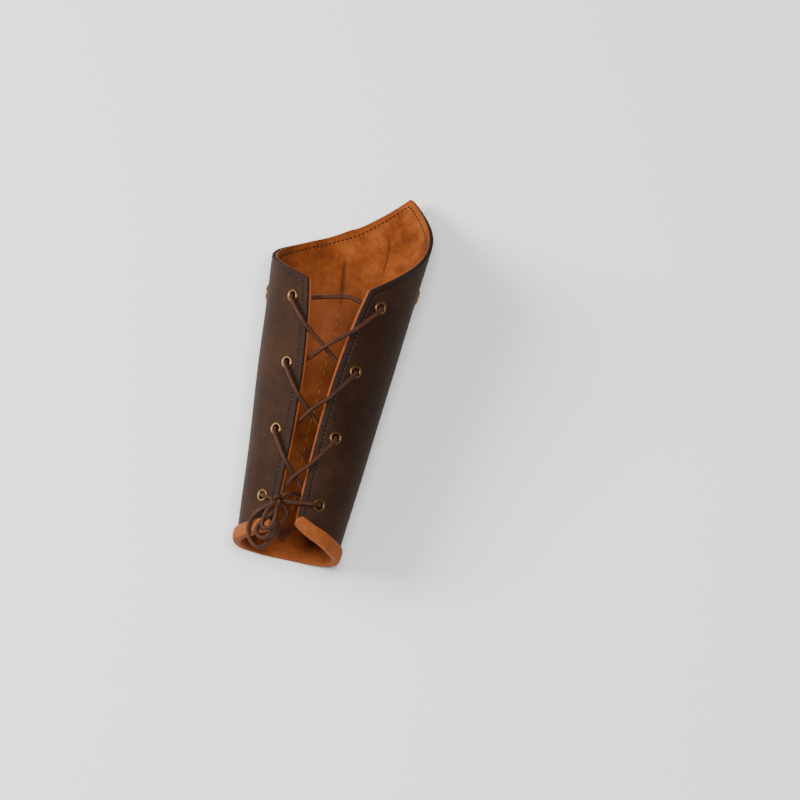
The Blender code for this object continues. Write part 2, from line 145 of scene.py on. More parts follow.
def flapTurn(side, share, proud=0.0):
    # the gap flares with a power of the share of the way up, about a middle that shifts evenly
    b = bracer
    middle = b["wristSkew"] + (b["elbowSkew"] - b["wristSkew"]) * share
    gap = b["wristGap"] + (b["elbowGap"] - b["wristGap"]) * np.maximum(share, 0) ** b["gapFlare"]
    wholeTurn = 0 if side > 0 else 2 * math.pi
    return (middle + side * (gap / 2 - proud)) / halfWidth(flapHeight(share)) + wholeTurn


def smoothTable(table, at):
    # a cubic between the rows with the table's own slopes, straight on beyond its ends
    places, values = np.array(table, float).T
    slopes = np.gradient(values, places)
    k = np.clip(np.searchsorted(places, at) - 1, 0, len(places) - 2)
    width = places[k + 1] - places[k]
    free = (at - places[k]) / width
    t = np.clip(free, 0, 1)
    curve = (values[k] * (2 * t**3 - 3 * t**2 + 1) + slopes[k] * width * (t**3 - 2 * t**2 + t)
             + values[k + 1] * (3 * t**2 - 2 * t**3) + slopes[k + 1] * width * (t**3 - t**2))
    return curve + np.where(free < 0, slopes[k], slopes[k + 1]) * (free - t) * width


def topEdge(turn):
    # each side climbs by its own table from its flap to the peak, whose point is slightly rounded
    b = bracer
    right, left = flapTurn(1, 1.0), flapTurn(-1, 1.0)
    share = np.where(turn < b["peakTurn"],
                     smoothTable(b["shortEdge"], (turn - right) / (b["peakTurn"] - right)),
                     smoothTable(b["longEdge"], (turn - left) / (b["peakTurn"] - left)))
    away = np.abs(turn - b["peakTurn"]) * halfWidth(b["peakLength"])
    lowered = 0.78 * (np.sqrt(away**2 + b["peakRound"] ** 2) - away)
    return b["flapLength"] + (b["peakLength"] - b["flapLength"]) * share - lowered


def topSlope(turn):
    # how far up a step along the edge takes, for a step of the turn
    return (topEdge(turn + 0.004) - topEdge(turn - 0.004)) / (0.008 * halfWidth(topEdge(turn)))


def ripple(a, b, seed, scale):
    # a soft unevenness: the mean of five crossed sine waves
    rng = np.random.default_rng(seed)
    waves = rng.uniform(-1, 1, (5, 2)) * scale
    phases = rng.uniform(0, 6.28, 5)
    return sum(np.sin(a * w[0] + b * w[1] + p) for w, p in zip(waves, phases)) / 5


def edgeDistance(turn, height):
    # how far a point of the wall is from the nearer flap edge and from the elbow edge
    share = (height - bracer["flapRise"]) / (bracer["flapLength"] - bracer["flapRise"])
    share = np.clip(share, 0, 1)
    side = np.minimum(turn - flapTurn(1, share), flapTurn(-1, share) - turn) * halfWidth(height)
    top = (topEdge(turn) - height) / np.sqrt(1 + topSlope(turn) ** 2)
    return side, top


def swell(turn, height):
    # the hide's own unevenness, which dies away towards the laced flaps and the elbow edge
    side, top = edgeDistance(turn, height)
    fade = np.clip((np.minimum(side, top) - 0.004) / 0.03, 0, 1)
    return bracer["swell"] * fade * 2 * ripple(turn * 50, height * 1000, 7, 0.09)


def wallPoint(turn, height, out):
    return section(turn, height) + outwards(turn, height) * (out + swell(turn, height))[..., None]


def lie(points, soft=False):
    # tilts the bracer until roll and elbow edge both rest; soft leather is pressed level with the floor
    c, s = math.cos(math.radians(bracer["tilt"])), math.sin(math.radians(bracer["tilt"]))
    x, y, z = np.moveaxis(np.asarray(points, float), -1, 0)
    p = bracer["place"]
    low = y * s + z * c + p[2]
    return np.stack([x + p[0], y * c - z * s + p[1], np.maximum(low, 0) if soft else low], -1)


def seat(turn, height):
    # where a fitting stands: across, up the wall and straight out of it, and the point itself
    turn, height = np.asarray(float(turn)), np.asarray(float(height))
    out = outwards(turn, height)
    up = unit(section(turn, height + 0.002) - section(turn, height - 0.002))
    out = unit(out - up * (out @ up))
    return np.stack([np.cross(up, out), up, out]), wallPoint(turn, height, 0.0 * height)


def squares(index):
    # the four corners of every square in a table of point numbers
    return np.stack([index[:-1, :-1], index[1:, :-1], index[1:, 1:], index[:-1, 1:]], -1).reshape(-1, 4)


def meshPiece(name, points, faces, material, marks=(), corners=None, replaced=()):
    # a closed mesh from arrays, squares first; a negative volume turns every face round
    points = np.asarray(points, float).reshape(-1, 3)
    a, b, c, d = ((points - points.mean(0))[faces[0][:, k]] for k in range(4))
    if np.sum(a * np.cross(b, c)) + np.sum(a * np.cross(c, d)) < 0:
        faces = [f[:, ::-1] for f in faces]
        corners = None if corners is None else corners[:, ::-1]
    mesh = bpy.data.meshes.new(name)
    mesh.from_pydata(points.tolist(), [], [row for f in faces for row in f.tolist()])
    for label, values in marks:
        data = mesh.attributes.new(label, "FLOAT", "POINT").data
        data.foreach_set("value", values.astype(np.float32).ravel())
    if corners is not None:
        flat = np.zeros((len(mesh.loops), 2), np.float32)
        flat[:corners.size // 2] = corners.reshape(-1, 2)
        mesh.uv_layers.new(name="run").data.foreach_set("uv", flat.ravel())
    mesh.shade_smooth()
    mesh.materials.append(material)
    piece = bpy.data.objects.new(name, mesh)
    bpy.context.scene.collection.objects.link(piece)
    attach(piece, "root")
    if replaced:
        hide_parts(*replaced)
    return piece


# the lace's way from the knot's right side up over all eyelets and back down to the knot, and the bow
cordRoutes = dict(
    bow_loop_inner=(
        (-0.01246, 0.01760, 0.03919), (-0.01231, 0.01618, 0.03989), (-0.01212, 0.01232, 0.04101),
        (-0.01251, 0.00730, 0.04067), (-0.01396, 0.00288, 0.03991), (-0.01657, 0.00145, 0.03926),
        (-0.01934, 0.00333, 0.03822), (-0.01940, 0.00826, 0.03842), (-0.01866, 0.01128, 0.03870),
        (-0.01755, 0.01414, 0.03883), (-0.01528, 0.01770, 0.03807),
    ),
    bow_loop_outer=(
        (-0.01583, 0.01946, 0.03473), (-0.01856, 0.01758, 0.03239), (-0.02100, 0.01580, 0.03094),
        (-0.02343, 0.01360, 0.02957), (-0.02534, 0.01088, 0.02828), (-0.02673, 0.00789, 0.02716),
        (-0.02757, 0.00226, 0.02573), (-0.02695, -0.00069, 0.02584), (-0.02575, -0.00348, 0.02626),
        (-0.02225, -0.00768, 0.02732), (-0.01805, -0.00916, 0.02801), (-0.01444, -0.00667, 0.02840),
        (-0.01158, -0.00208, 0.02980), (-0.01024, 0.00067, 0.03086), (-0.00898, 0.00352, 0.03201),
        (-0.00768, 0.00658, 0.03314), (-0.00649, 0.00957, 0.03426), (-0.00492, 0.01422, 0.03605),
        (-0.00660, 0.01716, 0.03644), (-0.00898, 0.01881, 0.03676),
    ),
    bow_tail_long=(
        (-0.01259, 0.01749, 0.03551), (-0.01248, 0.01576, 0.03475), (-0.01410, 0.01350, 0.03407),
        (-0.01640, 0.01100, 0.03344), (-0.01848, 0.00880, 0.03289), (-0.02032, 0.00652, 0.03238),
        (-0.02225, 0.00148, 0.03147), (-0.02049, -0.00261, 0.03251), (-0.01688, -0.00384, 0.03406),
        (-0.01354, -0.00129, 0.03522), (-0.01133, 0.00310, 0.03583), (-0.00957, 0.00747, 0.03611),
    ),
    bow_tail_short=(
        (-0.01002, 0.02486, 0.03854), (-0.00940, 0.02559, 0.03882), (-0.00601, 0.02760, 0.03777),
        (-0.00260, 0.02861, 0.03428), (0.00020, 0.02889, 0.02958), (0.00219, 0.02861, 0.02470),
        (0.00359, 0.02760, 0.01929), (0.00440, 0.02601, 0.01365),
    ),
    lace=(
        (-0.00799, 0.02202, 0.03726), (0.00286, 0.02312, 0.03762), (0.01118, 0.02407, 0.03722),
        (0.01315, 0.02449, 0.03568), (0.01407, 0.02492, 0.03336), (0.01369, 0.02506, 0.03086),
        (0.01216, 0.02548, 0.02888), (0.01010, 0.02661, 0.02792), (0.00800, 0.02800, 0.02825),
        (0.00213, 0.03210, 0.03039), (-0.00388, 0.03893, 0.03278), (-0.00859, 0.04341, 0.03536),
        (-0.01348, 0.04856, 0.03740), (-0.01928, 0.05725, 0.03676), (-0.02344, 0.06475, 0.03497),
        (-0.02412, 0.06693, 0.03386), (-0.02383, 0.06864, 0.03201), (-0.02279, 0.06915, 0.02976),
        (-0.02083, 0.06934, 0.02819), (-0.01854, 0.07035, 0.02778), (-0.01650, 0.07159, 0.02864),
        (-0.01126, 0.07514, 0.03224), (-0.00769, 0.07917, 0.03659), (-0.00383, 0.08387, 0.04070),
        (0.00077, 0.08829, 0.04252), (0.00569, 0.09333, 0.04327), (0.01274, 0.10277, 0.04334),
        (0.01807, 0.11087, 0.04245), (0.01904, 0.11298, 0.04144), (0.01917, 0.11464, 0.03952),
        (0.01858, 0.11518, 0.03712), (0.01694, 0.11529, 0.03520), (0.01462, 0.11595, 0.03441),
        (0.01225, 0.11669, 0.03492), (0.00701, 0.11839, 0.03725), (0.00109, 0.12254, 0.03883),
        (-0.00552, 0.12773, 0.04029), (-0.01244, 0.13248, 0.04229), (-0.01913, 0.13776, 0.04340),
        (-0.02614, 0.14589, 0.04155), (-0.03101, 0.15283, 0.03882), (-0.03179, 0.15482, 0.03745),
        (-0.03148, 0.15639, 0.03548), (-0.03026, 0.15696, 0.03334), (-0.02815, 0.15697, 0.03193),
        (-0.02563, 0.15713, 0.03181), (-0.02337, 0.15719, 0.03297), (-0.01624, 0.15893, 0.03325),
        (-0.00737, 0.16115, 0.03316), (-0.00007, 0.16277, 0.03357), (0.00694, 0.16340, 0.03422),
        (0.01873, 0.15971, 0.03610), (0.02112, 0.16002, 0.03531), (0.02360, 0.16014, 0.03581),
        (0.02547, 0.16019, 0.03752), (0.02640, 0.15958, 0.03980), (0.02644, 0.15800, 0.04178),
        (0.02549, 0.15600, 0.04301), (0.01975, 0.14824, 0.04491), (0.01182, 0.13905, 0.04608),
        (0.00527, 0.13340, 0.04609), (-0.00123, 0.12827, 0.04470), (-0.00787, 0.12218, 0.04019),
        (-0.01369, 0.11725, 0.03520), (-0.01856, 0.11491, 0.03176), (-0.02073, 0.11398, 0.03083),
        (-0.02311, 0.11318, 0.03120), (-0.02509, 0.11303, 0.03277), (-0.02612, 0.11251, 0.03502),
        (-0.02636, 0.11085, 0.03692), (-0.02561, 0.10873, 0.03809), (-0.02102, 0.10121, 0.04013),
        (-0.01466, 0.09253, 0.04100), (-0.00951, 0.08763, 0.03908), (-0.00443, 0.08333, 0.03657),
        (0.00352, 0.07554, 0.03403), (0.00915, 0.07250, 0.03191), (0.01139, 0.07135, 0.03156),
        (0.01354, 0.07039, 0.03250), (0.01507, 0.07022, 0.03450), (0.01553, 0.06971, 0.03693),
        (0.01534, 0.06802, 0.03882), (0.01438, 0.06586, 0.03975), (0.00951, 0.05803, 0.04023),
        (0.00313, 0.04891, 0.03969), (-0.00562, 0.03947, 0.03662), (-0.01070, 0.03217, 0.02849),
        (-0.01595, 0.02796, 0.02456), (-0.01786, 0.02659, 0.02362), (-0.02012, 0.02548, 0.02391),
        (-0.02218, 0.02508, 0.02534), (-0.02330, 0.02490, 0.02761), (-0.02313, 0.02434, 0.03007),
        (-0.02172, 0.02372, 0.03209), (-0.01671, 0.02247, 0.03502),
    ),
)
cordStyle = dict(diameter=0.0028, sides=24, spacing=0.0005, strands=3, twistPitch=0.0075, twistDepth=0.02,
                 intoKnot=0.0022)
knotStyle = dict(middle=(-0.01286, 0.0215, 0.03727), size=(0.0092, 0.0084, 0.0072), tilt=(18, -24, 35))


def smoothPath(route, spacing, finer=0.0):
    # the part's curve: a centripetal cubic through its points, taken at even steps, closer at its ends
    p = np.asarray(route, float)
    p = np.vstack([2 * p[0] - p[1], p, 2 * p[-1] - p[-2]])
    gaps = np.maximum(np.linalg.norm(np.diff(p, axis=0), axis=1), 1e-7)[:, None] ** 0.5
    before, span, after = gaps[:-2], gaps[1:-1], gaps[2:]
    a, b = p[1:-2], p[2:-1]
    start = span * ((a - p[:-3]) / before - (b - p[:-3]) / (before + span) + (b - a) / span)
    end = span * ((b - a) / span - (p[3:] - a) / (span + after) + (p[3:] - b) / after)
    t = np.linspace(0, 1, 20, endpoint=False)[None, :, None]
    curve = (a[:, None] * (2 * t**3 - 3 * t**2 + 1) + start[:, None] * (t**3 - 2 * t**2 + t)
             + b[:, None] * (3 * t**2 - 2 * t**3) + end[:, None] * (t**3 - t**2)).reshape(-1, 3)
    curve = np.vstack([curve, p[-2]])
    run = np.concatenate([[0], np.cumsum(np.linalg.norm(np.diff(curve, axis=0), axis=1))])
    at = np.linspace(0, run[-1], round(run[-1] / spacing) + 1)
    if finer:
        tip = finer * np.array([0.02, 0.07, 0.15, 0.3, 0.5, 0.75])
        at = np.unique(np.concatenate([at, tip, run[-1] - tip]))
    return np.stack([np.interp(at, run, curve[:, k]) for k in range(3)], -1)


def pathFrames(path):
    # two ways square to the path that don't spin round it: a fixed way made square to it, turned back by
    # the twist it gathers from ring to ring
    ahead = unit(np.gradient(path, axis=0))
    side = unit(np.cross(ahead, (0.36, 0.48, 0.8)))
    other = np.cross(ahead, side)
    axis, close = np.cross(ahead[:-1], ahead[1:]), np.sum(ahead[:-1] * ahead[1:], -1, keepdims=True)
    was = side[:-1]
    carried = was * close + np.cross(axis, was) + axis * np.sum(axis * was, -1, keepdims=True) / (1 + close)
    twist = np.arctan2(np.sum(carried * other[1:], -1), np.sum(carried * side[1:], -1))
    angle = np.concatenate([[0], np.cumsum(twist)])[:, None]
    first = side * np.cos(angle) + other * np.sin(angle)
    return first, np.cross(ahead, first)


def tube(path, taper=0.0):
    # a ring round each point of the path: radius * (cosine * one way + sine * the other), with the lay of
    # the strands as a slow wave round it, and ends that close along a quarter circle
    c = cordStyle
    radius, sides = c["diameter"] / 2, c["sides"]
    run = np.concatenate([[0], np.cumsum(np.linalg.norm(np.diff(path, axis=0), axis=1))])
    first, other = pathFrames(path)
    left = np.minimum(run, run[-1] - run) / radius
    ring = radius * np.sqrt(np.clip(1 - (1 - np.minimum(left, 1)) ** 2, 0.03, 1))
    if taper:
        ring = ring * (1 - taper * np.clip(1 - (run[-1] - run) / 0.004, 0, 1) ** 2)
    around = np.arange(sides) * 2 * math.pi / sides
    lead = 2 * math.pi * run[:, None] / (c["strands"] * c["twistPitch"])
    lay = np.cos(c["strands"] * (around[None] - lead))
    r = ring[:, None] * (1 - c["twistDepth"] * 0.5 * (1 - lay))
    points = path[:, None] + r[..., None] * (np.cos(around)[None, :, None] * first[:, None]
                                             + np.sin(around)[None, :, None] * other[:, None])
    index = np.arange(len(path) * sides).reshape(len(path), sides)
    spots = np.stack(np.broadcast_arrays(run[:, None] / 0.01, np.arange(sides + 1)[None] / sides), -1)
    corners = spots.reshape(-1, 2)[squares(np.arange(len(path) * (sides + 1)).reshape(len(path), sides + 1))]
    wrapped = np.concatenate([index, index[:, :1]], 1)
    return points.reshape(-1, 3), [squares(wrapped), index[:1], index[-1:, ::-1]], corners


def stretched(route, into, atEnd=True):
    # the route goes on a little way into the knot at its start, and at its end if that is tied too
    r = [tuple(route[0] + (np.array(into) - route[0]) / np.linalg.norm(np.array(into) - route[0])
               * cordStyle["intoKnot"])] + [tuple(q) for q in route]
    if atEnd:
        last = np.array(route[-1])
        r.append(tuple(last + (np.array(into) - last) / np.linalg.norm(np.array(into) - last)
                       * cordStyle["intoKnot"]))
    return r


def makeKnot(material):
    # an overhand knot: x = sin t + 2 sin 2t, y = cos t - 2 cos 2t, z = -sin 3t, sized and tilted in place
    k = knotStyle
    t = np.linspace(0, 2 * math.pi, 130) + 0.35
    radius = cordStyle["diameter"] / 2
    room = (np.array(k["size"]) / 2 - radius) / np.array([2.75, 2.75, 1.0])
    way = np.stack([np.sin(t) + 2 * np.sin(2 * t), np.cos(t) - 2 * np.cos(2 * t), -np.sin(3 * t)], -1) * room
    turn = Matrix.Rotation(math.radians(k["tilt"][2]), 3, "Z")
    tilted = np.array(Matrix.Rotation(math.radians(k["tilt"][0]), 3, "X")
                      @ Matrix.Rotation(math.radians(k["tilt"][1]), 3, "Y") @ turn)
    path = lie(way @ tilted.T + np.array(k["middle"]))
    points, faces, corners = tube(path)
    return meshPiece("bowKnot", points, faces, material, corners=corners,
                     replaced=("bow_knot",))


def makeCords(material):
    knot = makeKnot(material)
    middle = np.array(knotStyle["middle"])
    shapes = (("lace", True, "taut", "knot"), ("bow_loop_outer", True, "loose", "object"),
              ("bow_loop_inner", True, "loose", "object"), ("bow_tail_long", False, "hanging", "bare"),
              ("bow_tail_short", False, "hanging", "bare"))
    for node, bothTied, lay, farEnd in shapes:
        route = stretched(np.array(cordRoutes[node]), middle, bothTied)
        path = lie(smoothPath(route, cordStyle["spacing"], cordStyle["diameter"] / 2))
        points, faces, corners = tube(path, taper=0.0 if bothTied else 0.14)
        words = node.split("_")
        cord = meshPiece(words[0] + "".join(w.title() for w in words[1:]) + "Cord", points, faces, material,
                         corners=corners, replaced=(node,))


# how closely the walls are divided: distances from a cut edge in millimetres, then even steps
wallSteps = dict(
    fromEdge=(0, 0.04, 0.12, 0.28, 0.5, 0.8, 1.2, 2.0, 2.8, 3.3, 3.7, 4.0, 4.3, 4.6, 5.0, 5.5, 6.5, 8.0),
    fromFoot=(0, 0.15, 0.4, 0.8, 1.5), up=100, shortSide=66, longSide=78, besideSeam=58,
)
shellStyle = dict(foot=0.0019, rounding=0.0009, groove=0.00034, grooveAt=0.0043, grooveWidth=0.00055)
liningStyle = dict(foot=0.0070, rounding=0.0006, rollRounding=0.0012, seamDepth=0.0005, seamWidth=0.0007,
                   puff=0.0004, puffFrom=152.5, puffTo=180, puffTop=0.226, puffFade=0.008,
                   stitchPress=0.0002, stitchPressWidth=0.0006, perDegree=0.87 / 1000,
                   # each row: height, share of the inside colour, a painted shade tint that is paler and
                   # greyer where the inside lies in shade
                   inside=((0, 0.4), (0.10, 0.4), (0.145, 1), (0.168, 1), (0.19, 0.3), (0.21, 0)))
rollStyle = dict(
    height=0.0092, endHeight=0.0024, endSlant=0.0055, thick=0.0020, lumps=0.16,
    # each row: out from the leather in roll thicknesses, in wall thicknesses, up, up in roll heights
    face=((0, -1, 0.0060, 0), (0, -1, 0.0035, 0), (0, -0.93, 0.0012, 0), (0, -0.68, 0.0001, 0),
          (0, -0.28, 0, 0), (0.5, 0.05, 0, 0.02), (1, 0, 0, 0.13), (1.15, 0, 0, 0.36),
          (1.08, 0, 0, 0.66), (0.85, 0, 0, 0.88), (0.4, 0, 0, 1.0)),
    back=((0, -0.6, 0.0060, 0), (0, -0.6, 0.0040, 0), (0, -0.58, 0.0022, 0), (0, -0.44, 0.0016, 0),
          (0, -0.3, 0.0015, 0), (0, -0.07, 0.0015, 0), (0.05, 0, 0.0016, 0.01), (0.15, 0, 0.0012, 0.24),
          (0.15, 0, 0.0008, 0.49), (0.15, 0, 0.0004, 0.73), (0.2, 0, 0, 0.96)),
    rows=30,
)
# creases of the lining: turn in degrees, height, and how deep that spot is as a share
creases = dict(
    seam=((181, 0.206, 0.5), (180.7, 0.2, 1), (180, 0.1895, 1), (179.5, 0.1815, 0.8), (179.3, 0.172, 0.25),
          (179.3, 0.15, 0.15), (180, 0.12, 0.12), (181.5, 0.085, 0.1), (181.5, 0.03, 0.05)),
    pocket=((159.5, 0.228, 0.55), (156.25, 0.2255, 1), (154.25, 0.2215, 1), (153.25, 0.2165, 0.9),
            (153, 0.208, 0.8), (153.25, 0.2005, 0.5), (153.75, 0.197, 0.1), (154, 0.18, 0)),
)
eyelets = dict(
    rows=4, belowTop={-1: 0.0124, 1: 0.0092}, aboveWrist=0.0185, fromEdge=0.0120, radius=0.0043,
    backRadius=0.0040, bore=0.0048, metal=0.00035, sink=0.00016, hole=0.0030, sides=48,
)
rivets = dict(
    places=(("rivet_short_side", 99, 0.0395), ("rivet_peak", 151, 0.0270), ("rivet_long_side", 204, 0.0258),
            ("rivet_far_side", 259, 0.0277)),
    radius=0.0052, crown=0.0020, brim=0.0006, post=0.0016, sink=0.00012, sides=64,
)


def eyeletPlace(side, row):
    e, b = eyelets, bracer
    top, bottom = b["flapLength"] - e["belowTop"][side], b["flapRise"] + e["aboveWrist"]
    height = top + (bottom - top) * row / (e["rows"] - 1)
    share = (height - b["flapRise"]) / (b["flapLength"] - b["flapRise"])
    return float(flapTurn(side, share)) + side * e["fromEdge"] / halfWidth(height), height


eyeletSeats = [seat(*eyeletPlace(side, row)) for side in (-1, 1) for row in range(eyelets["rows"])]
rivetSeats = [seat(math.radians(turn), float(topEdge(math.radians(turn))) - below)
              for _, turn, below in rivets["places"]]


def columnTable(besideSeam):
    # for each column its flap, its distance from that flap's edge, and its share of the rest to the peak
    w = wallSteps
    near = np.array(w["fromEdge"]) / 1000
    rightShare = np.linspace(0, 1, w["shortSide"] + 1)[1:]
    if besideSeam:
        leftShare = np.concatenate([np.linspace(0, 0.79, w["longSide"] + 1)[1:],
                                    np.linspace(0.79, 1, w["besideSeam"] + 1)[1:-1]])
    else:
        leftShare = np.linspace(0, 1, w["longSide"] + 18)[1:-1]
    side = np.concatenate([np.ones(len(near) + len(rightShare)), -np.ones(len(leftShare) + len(near))])
    offset = np.concatenate([near, near[-1] + 0 * rightShare, near[-1] + 0 * leftShare, near[::-1]])
    share = np.concatenate([0 * near, rightShare, leftShare[::-1], 0 * near])
    return side, offset, share


def columnTurns(table, up, proud):
    side, offset, share = table
    start = np.where(side > 0, flapTurn(1, up, proud) + offset / halfWidth(flapHeight(up)),
                     flapTurn(-1, up, proud) - offset / halfWidth(flapHeight(up)))
    return start + (bracer["peakTurn"] - start) * share


def wallTable(table, foot, proud):
    # turns and heights of the wall: rows keep their distance below the elbow edge near it and above the
    # foot near that, and share out the rest
    w = wallSteps
    topTurn = columnTurns(table, 1.0, proud)
    top, base = topEdge(topTurn), wristEdge(columnTurns(table, 0.0, proud)) + foot
    steep = np.maximum(np.abs(topEdge(topTurn + 0.03) - topEdge(topTurn)),
                       np.abs(topEdge(topTurn) - topEdge(topTurn - 0.03))) / (0.03 * halfWidth(top))
    upper = 1 - np.array(w["fromEdge"])[::-1, None] / 1000 * np.sqrt(1 + steep**2) / (top - base)
    lower = np.array(w["fromFoot"])[:, None] / 1000 / (top - base)
    middle = lower[-1] + (upper[0] - lower[-1]) * np.linspace(0, 1, w["up"] + 2)[1:-1, None]
    up = np.vstack([lower, middle, upper])
    turn = columnTurns(table, up, proud)
    start = wristEdge(turn) + foot
    height = start + up * (top - start)
    nearTop = (1 - up) * (top - base) / np.sqrt(1 + steep**2)
    halfAt = halfWidth(flapHeight(up))
    nearSide = np.minimum(turn - flapTurn(1, up, proud), flapTurn(-1, up, proud) - turn) * halfAt
    return turn, height, nearTop, nearSide, up * (top - base)


def sunkAround(points, seats, reach, depth):
    # how far the leather is pressed in under each fitting: level below it, then a short soft slope
    total = 0
    for axes, origin in seats:
        local = (points - origin) @ axes.T
        total = total + depth * np.exp(-(np.linalg.norm(local, axis=-1) / reach) ** 6)
    return total


def punch(face, back, seats, radius):
    # squares round each fitting's line are left out, and the corners round the hole are drawn to a circle
    kept = np.ones((face.shape[0] - 1, face.shape[1] - 1), bool)
    for axes, origin in seats:
        local = (face - origin) @ axes.T
        middle = (local[:-1, :-1] + local[1:, :-1] + local[1:, 1:] + local[:-1, 1:]) / 4
        gone = (np.hypot(middle[..., 0], middle[..., 1]) < radius) & (np.abs(middle[..., 2]) < 0.01)
        kept &= ~gone
        byGone, byKept = np.zeros(face.shape[:2], bool), np.zeros(face.shape[:2], bool)
        for i, j in ((0, 0), (0, 1), (1, 0), (1, 1)):
            cut = (slice(i, i + gone.shape[0]), slice(j, j + gone.shape[1]))
            byGone[cut] |= gone
            byKept[cut] |= ~gone
        rim = byGone & byKept
        for sheet in (face, back):
            local = (sheet[rim] - origin) @ axes.T
            local[:, :2] *= radius / np.linalg.norm(local[:, :2], axis=1, keepdims=True)
            sheet[rim] = local @ axes + origin
    return kept


def closedSheet(face, kept):
    # two sheets of one table that share their outermost points; every hole's rims are joined by squares
    rows, cols = face.shape[:2]
    index = np.arange(rows * cols).reshape(rows, cols)
    outermost = np.zeros((rows, cols), bool)
    outermost[[0, -1]] = outermost[:, [0, -1]] = True
    behind = np.where(outermost, index, index + rows * cols)
    front = squares(index)[kept.ravel()]
    hidden = squares(behind)[kept.ravel()][:, ::-1]
    edges = np.stack([front, np.roll(front, -1, 1)], -1).reshape(-1, 2)
    size = rows * cols
    single = ~np.isin(edges[:, 1] * size + edges[:, 0], edges[:, 0] * size + edges[:, 1])
    u, v = edges[single].T
    behindFlat = behind.ravel()
    inner = behindFlat[u] != u
    u, v = u[inner], v[inner]
    walls = np.stack([v, u, behindFlat[u], behindFlat[v]], -1)
    faces = np.vstack([front, hidden, walls])
    used, faces = np.unique(faces, return_inverse=True)
    return used, faces.reshape(-1, 4)


def drawnIn(face, back, near, rounding):
    # towards an edge the two sheets meet along a rounded line: a superellipse of the distance to it
    s = np.clip(near / rounding, 0, 1)
    keep = ((1 - (1 - s) ** 2.4) ** (1 / 2.4))[..., None]
    middle = (face + back) / 2
    return middle + (face - middle) * keep, middle + (back - middle) * keep


def creaseMark(x, y, line, width):
    # how strongly a point is creased: a bell of its distance to the line times the depth along it
    best = np.zeros(x.shape)
    for (ax, ay, start), (bx, by, end) in zip(line, line[1:]):
        length = math.hypot(bx - ax, by - ay)
        t = np.clip(((x - ax) * (bx - ax) + (y - ay) * (by - ay)) / length**2, 0, 1)
        away = np.hypot(x - ax - t * (bx - ax), y - ay - t * (by - ay))
        best = np.maximum(best, (start + (end - start) * t) * np.exp(-(away / width) ** 2))
    return best


def makeShell(material):
    s, b = shellStyle, bracer
    turn, height, nearTop, nearSide, nearFoot = wallTable(columnTable(False), s["foot"], 0.0)
    near = np.minimum(np.minimum(nearTop, nearSide), nearFoot)
    seamNear = np.minimum(nearTop, nearSide)
    groove = s["groove"] * np.exp(-((seamNear - s["grooveAt"]) / s["grooveWidth"]) ** 2)
    outside = section(turn, height)
    sunk = sunkAround(outside, eyeletSeats, 0.0056, 0.0002) + sunkAround(outside, rivetSeats, 0.0068, 0.00018)
    face = wallPoint(turn, height, -groove - sunk)
    back = wallPoint(turn, height, 0 * turn - b["shell"])
    face, back = drawnIn(face, back, near, s["rounding"])
    kept = punch(face, back, eyeletSeats, eyelets["hole"])
    used, faces = closedSheet(face, kept)
    points = lie(np.vstack([face.reshape(-1, 3), back.reshape(-1, 3)])[used], soft=True)
    rim = np.concatenate([near.ravel(), near.ravel()])[used] * 1000
    # line: where the stitch groove runs, for its painted shade
    line = np.concatenate([(groove / s["groove"]).ravel(), 0 * near.ravel()])[used]
    marks = (("rim", rim), ("line", line))
    return meshPiece("shellLeather", points, [faces], material, marks, replaced=("shell",))


def rollRows(table, turn):
    # the roll's two faces: rows of its tables run through a smooth curve, sized for each column
    r, b = rollStyle, bracer
    _, offset, share = table
    fromEnd = np.where(share > 0, 0.02, offset)
    slant = np.clip(fromEnd / r["endSlant"], 0, 1)
    slant = slant * (2 - slant)
    tall = r["endHeight"] + (r["height"] - r["endHeight"]) * slant
    wall, thick = b["shell"] + b["lining"], r["thick"]
    sheets = []
    for rows in (r["face"], r["back"]):
        rows = np.array(rows, float)
        at = np.linspace(0, len(rows) - 1, r["rows"])
        smooth = np.stack([smoothTable(np.stack([np.arange(len(rows)), rows[:, k]], -1), at)
                           for k in range(4)], -1)
        puffy = 1 + r["lumps"] * 3 * ripple(turn[None] * 30, smooth[:, 2:3] * 0 + at[:, None], 11, 0.35)
        gap = b["clear"] * np.clip(smooth[:, 0:1] * 9, 0, 1)
        out = smooth[:, 0:1] * thick * puffy + smooth[:, 1:2] * wall + gap
        up = smooth[:, 2:3] + smooth[:, 3:4] * tall[None]
        sheets.append(wallPoint(turn[None] + 0 * up, wristEdge(turn)[None] + up, out))
    return sheets


